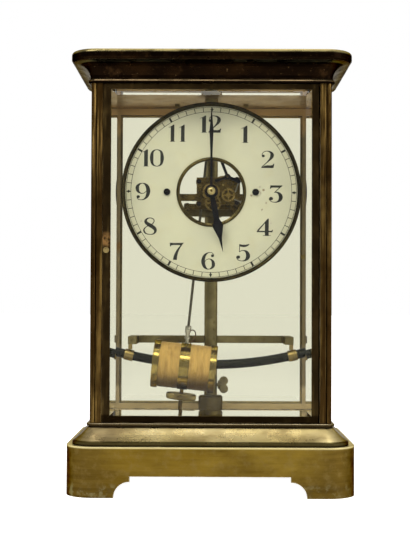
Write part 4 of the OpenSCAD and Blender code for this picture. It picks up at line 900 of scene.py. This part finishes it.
def figures_of(text, x, y, wide):
    """The pieces of one number, its figures side by side and centred on x, y."""
    glyphs = [("6" if c == "9" else c, c == "9") for c in text]
    gap = BETWEEN_ONES if text == "11" else BETWEEN
    total = sum(FIGURE_WIDE[glyph] for glyph, turned in glyphs) + gap * (len(glyphs) - 1)
    up, across = FIGURE_HIGH / 100, wide / total
    pieces, start = [], 0
    for glyph, turned in glyphs:
        for kind, data in FIGURES[glyph]:
            loops = outlines(kind, data)
            if turned:
                loops = [[(FIGURE_WIDE[glyph] - px, 100 - py) for px, py in loop] for loop in loops]
            for loop in loops:
                placed = [(x + (start + px - total / 2) * across, y + (py - 50) * up) for px, py in loop]
                pieces.append(cut_out([placed]))
        start += FIGURE_WIDE[glyph] + gap
    return pieces


def circle(r):
    angles = [math.tau * i / 180 for i in range(180)]
    return [(r * math.sin(a), r * math.cos(a)) for a in angles]


def block(wide, low, high):
    return [(-wide / 2, low), (wide / 2, low), (wide / 2, high), (-wide / 2, high)]


def at_minute(minute, outline):
    """The print of an outline that is drawn at 12 o'clock, turned to its minute."""
    a = math.tau * minute / 60
    turned = [(x * math.cos(a) + y * math.sin(a), y * math.cos(a) - x * math.sin(a)) for x, y in outline]
    return cut_out([turned])


def track():
    """The minute track: two circles, minute strokes, hour blocks and four diamonds with a bar across."""
    half = CIRCLE_WIDE / 2
    pieces = [cut_out([circle(r + half), circle(r - half)]) for r in (TRACK_IN, TRACK_OUT)]
    for minute in range(60):
        if minute % 15 == 0:
            pieces.append(at_minute(minute, [(0, 66.5), (1, 64.4), (0, 62.3), (-1, 64.4)]))
            pieces.append(at_minute(minute, block(2.6, 64.2, 64.6)))
        elif minute % 5 == 0:
            pieces.append(at_minute(minute, block(1.6, 62.4, TRACK_OUT)))
        else:
            pieces.append(at_minute(minute, block(0.52, TRACK_IN, TRACK_OUT)))
    return pieces


def print_dial(name, pieces):
    """Makes the pieces one print and lays it on the front of the dial."""
    take(*pieces)
    bpy.ops.object.convert(target="MESH")
    made = joined(name, pieces)
    apply_tool(made, "SOLIDIFY", thickness=PRINT_THICK * MM, offset=-1)
    turn = Matrix.Rotation(math.radians(PRINT_TURN), 4, "Y") @ Matrix.Rotation(math.radians(90), 4, "X")
    settle(made, Matrix.Translation((0, (DIAL_FRONT - PRINT_PROUD) * MM, DIAL_Z * MM)) @ turn)
    outside_out(made)
    fit(made, name, BLACK_PRINT, "case")


BLACK_PRINT = printed_black()
print_dial("dial_numbers", [p for number in NUMBERS for p in figures_of(*number)])
print_dial("minute_track", track())


# coil, lead and rating nut

COIL_MIDDLE = Matrix.Translation((0, 0, -COIL_DOWN * MM))

# half of the centre band and of the bobbin, one flange, and the space beside each winding
BAND_HALF, COIL_HALF, FLANGE, SPARE = 3.9, 25.0, 5.0, 0.2
ROOM = COIL_HALF - FLANGE - BAND_HALF

# the wire, how finely one turn of it is drawn, the outside of a winding, and the bore through its layers
WIRE, TURN_STEPS = 0.36, 44
WINDING_R, CORE_R = 17.9, 10.1
LAYERS_R = WINDING_R - WIRE * 0.7


def top_layer():
    """About forty turns of wire in one run from band to flange. The wires touch each other a little."""
    clear_bench()
    bpy.ops.mesh.primitive_circle_add(vertices=6, radius=WIRE / 2 * 1.06 * MM, rotation=(math.pi / 2, 0, 0),
                                      location=((BAND_HALF + SPARE + WIRE / 2) * MM, 0,
                                                (WINDING_R - WIRE / 2) * MM))
    wire = bpy.context.object
    settle(wire)
    turns = int((ROOM - 2 * SPARE) / WIRE) - 1
    apply_tool(wire, "SCREW", axis="X", angle=math.tau, screw_offset=WIRE * MM, iterations=turns,
               steps=TURN_STEPS, render_steps=TURN_STEPS, use_merge_vertices=False)
    open_part(wire)
    bpy.ops.mesh.select_all(action="SELECT")
    bpy.ops.mesh.remove_doubles(threshold=SAME_POINT)
    bpy.ops.mesh.fill_holes(sides=8)
    bpy.ops.mesh.normals_make_consistent(inside=False)
    close_part()
    return wire


def layers_below():
    """The layers under the top one, as one thick tube round the bobbin's core."""
    clear_bench()
    bpy.ops.mesh.primitive_cylinder_add(vertices=2 * TURN_STEPS, radius=LAYERS_R * MM,
                                        depth=(ROOM - 0.1) * MM, rotation=(0, math.pi / 2, 0),
                                        location=((BAND_HALF + ROOM / 2) * MM, 0, 0))
    layers = bpy.context.object
    settle(layers)
    open_part(layers, "FACE")
    pick("faces", lambda f: abs(f.normal.x) > 0.9)
    bpy.ops.mesh.inset(thickness=(LAYERS_R - CORE_R) * MM)
    bpy.ops.mesh.delete(type="FACE")
    pick("edges", lambda e: e.is_boundary)
    bpy.ops.mesh.bridge_edge_loops()
    bpy.ops.mesh.select_all(action="SELECT")
    bpy.ops.mesh.normals_make_consistent(inside=False)
    close_part()
    return layers


def fine_winding(name, side):
    """One half of the coil, wound by hand: it swells and narrows a little along its length."""
    wire, layers = top_layer(), layers_below()
    for piece in (wire, layers):
        for v in piece.data.vertices:
            x = v.co.x / MM
            swell = 1 + 0.0045 * math.sin(x * 1.25 + side) + 0.003 * math.sin(x * 2.9 + 2 * side)
            if math.hypot(v.co.y, v.co.z) > 15 * MM:
                v.co.y, v.co.z = v.co.y * swell, v.co.z * swell
    made = joined(name, [wire, layers])
    turned = Matrix.Identity(4) if side > 0 else Matrix.Rotation(math.pi, 4, "Z")
    settle(made, SWUNG @ COIL_MIDDLE @ turned)
    take(made)
    bpy.ops.object.shade_smooth_by_angle(angle=math.radians(35))
    fit(made, name, SILK, "pendulum", "coil_turns", "coil_cores")


# the lead's points across and up from the top of the coil's band, and that top from the coil's middle
LEAD_PATH = [(2.3, 10.5), (3.6, 10.9), (5, 10.4), (6, 9), (6.3, 7.2), (6, 5.4), (5.2, 3.8), (4.2, 2.4),
             (3.4, 1.1), (3, 0.12)]
BAND_TOP = 18.3
LEAD_R = 0.45


def bent_lead():
    """The thin lead that loops out beside the hook and down to the coil's band."""
    curve = bpy.data.curves.new("lead", "CURVE")
    curve.dimensions = "3D"
    line = curve.splines.new("POLY")
    fine = smoothed(LEAD_PATH, False, 6)
    line.points.add(len(fine) - 1)
    for point, (x, z) in zip(line.points, fine):
        point.co = (x * MM, 0, (z - COIL_DOWN + BAND_TOP) * MM, 1)
    curve.bevel_depth, curve.bevel_resolution, curve.use_fill_caps = LEAD_R * MM, 4, True
    lead = bpy.data.objects.new("lead", curve)
    bpy.context.scene.collection.objects.link(lead)
    take(lead)
    bpy.ops.object.convert(target="MESH")
    lead = bpy.context.object
    settle(lead, SWUNG)
    outside_out(lead)
    bpy.ops.object.shade_smooth_by_angle(angle=math.radians(50))
    fit(lead, "coil_lead_braided", braided_cotton(), "pendulum", "coil_lead")


# the rating nut: how far below the pivot, its radius, thickness and chamfer, the flat inside the chamfer,
# and the radii of its hub and its bore
NUT_DOWN = 228.8
NUT_R, NUT_THICK, NUT_CHAMFER, NUT_FLAT = 11.9, 4.8, 0.9, 2.2
NUT_HUB_R, NUT_BORE_R = 4.6, 1.56
# what the grooves of its milled edge and the dished ring inside its flat are scaled by
GROOVE_SCALE, DISH_SCALE = 0.965, 0.8


def groove_edge(edge):
    """Whether an edge stands upright on the nut's rim and is a second one, which sinks in as a groove."""
    at = middle(edge)
    on_rim = math.hypot(at.x, at.y) > (NUT_R - 0.1) * MM
    upright = abs(edge.verts[0].co.z - edge.verts[1].co.z) > MM
    return on_rim and upright and round(math.degrees(math.atan2(at.y, at.x)) / 2) % 2 == 0


def milled_rating_nut():
    """The rating nut: a disc with a milled edge and chamfered rims, bored for its screw."""
    clear_bench()
    bpy.ops.mesh.primitive_cylinder_add(vertices=180, radius=NUT_R * MM, depth=NUT_THICK * MM,
                                        location=(0, 0, -NUT_DOWN * MM))
    nut = bpy.context.object
    settle(nut)
    open_part(nut, "FACE")
    pick("faces", lambda f: abs(f.normal.z) > 0.9)
    bpy.ops.mesh.inset(thickness=NUT_CHAMFER * MM)
    bpy.ops.mesh.inset(thickness=NUT_FLAT * MM)
    bpy.ops.mesh.inset(thickness=(NUT_R - NUT_CHAMFER - NUT_FLAT - NUT_HUB_R) * MM)
    bpy.ops.mesh.inset(thickness=(NUT_HUB_R - NUT_BORE_R) * MM)
    bpy.ops.mesh.delete(type="FACE")
    pick("edges", lambda e: e.is_boundary)
    bpy.ops.mesh.bridge_edge_loops()
    close_part()
    for v in nut.data.vertices:
        out = math.hypot(v.co.x, v.co.y) / MM
        lift = v.co.z + NUT_DOWN * MM
        if out > NUT_R - 0.1:
            v.co.z = lift * (NUT_THICK - 2 * NUT_CHAMFER) / NUT_THICK - NUT_DOWN * MM
        elif NUT_HUB_R + 0.1 < out < NUT_R - NUT_CHAMFER - NUT_FLAT / 2:
            v.co.z = lift * DISH_SCALE - NUT_DOWN * MM
    open_part(nut, "EDGE")
    pick("edges", groove_edge)
    bpy.ops.transform.resize(value=(GROOVE_SCALE, GROOVE_SCALE, 1), center_override=(0, 0, -NUT_DOWN * MM))
    bpy.ops.mesh.select_all(action="SELECT")
    bpy.ops.mesh.normals_make_consistent(inside=False)
    close_part()
    settle(nut, SWUNG)
    bpy.ops.object.shade_smooth_by_angle(angle=math.radians(22))
    brass = lacquered_inner_brass("milled_nut_brass", (0.3, 0.24, 0.11), (0.1, 0.07, 0.03))
    fit(nut, "rating_nut_milled", brass, "rating_nut", "rating_nut")


fine_winding("right_winding", 1)
fine_winding("left_winding", -1)
bent_lead()
milled_rating_nut()


# closing

bpy.context.view_layer.update()
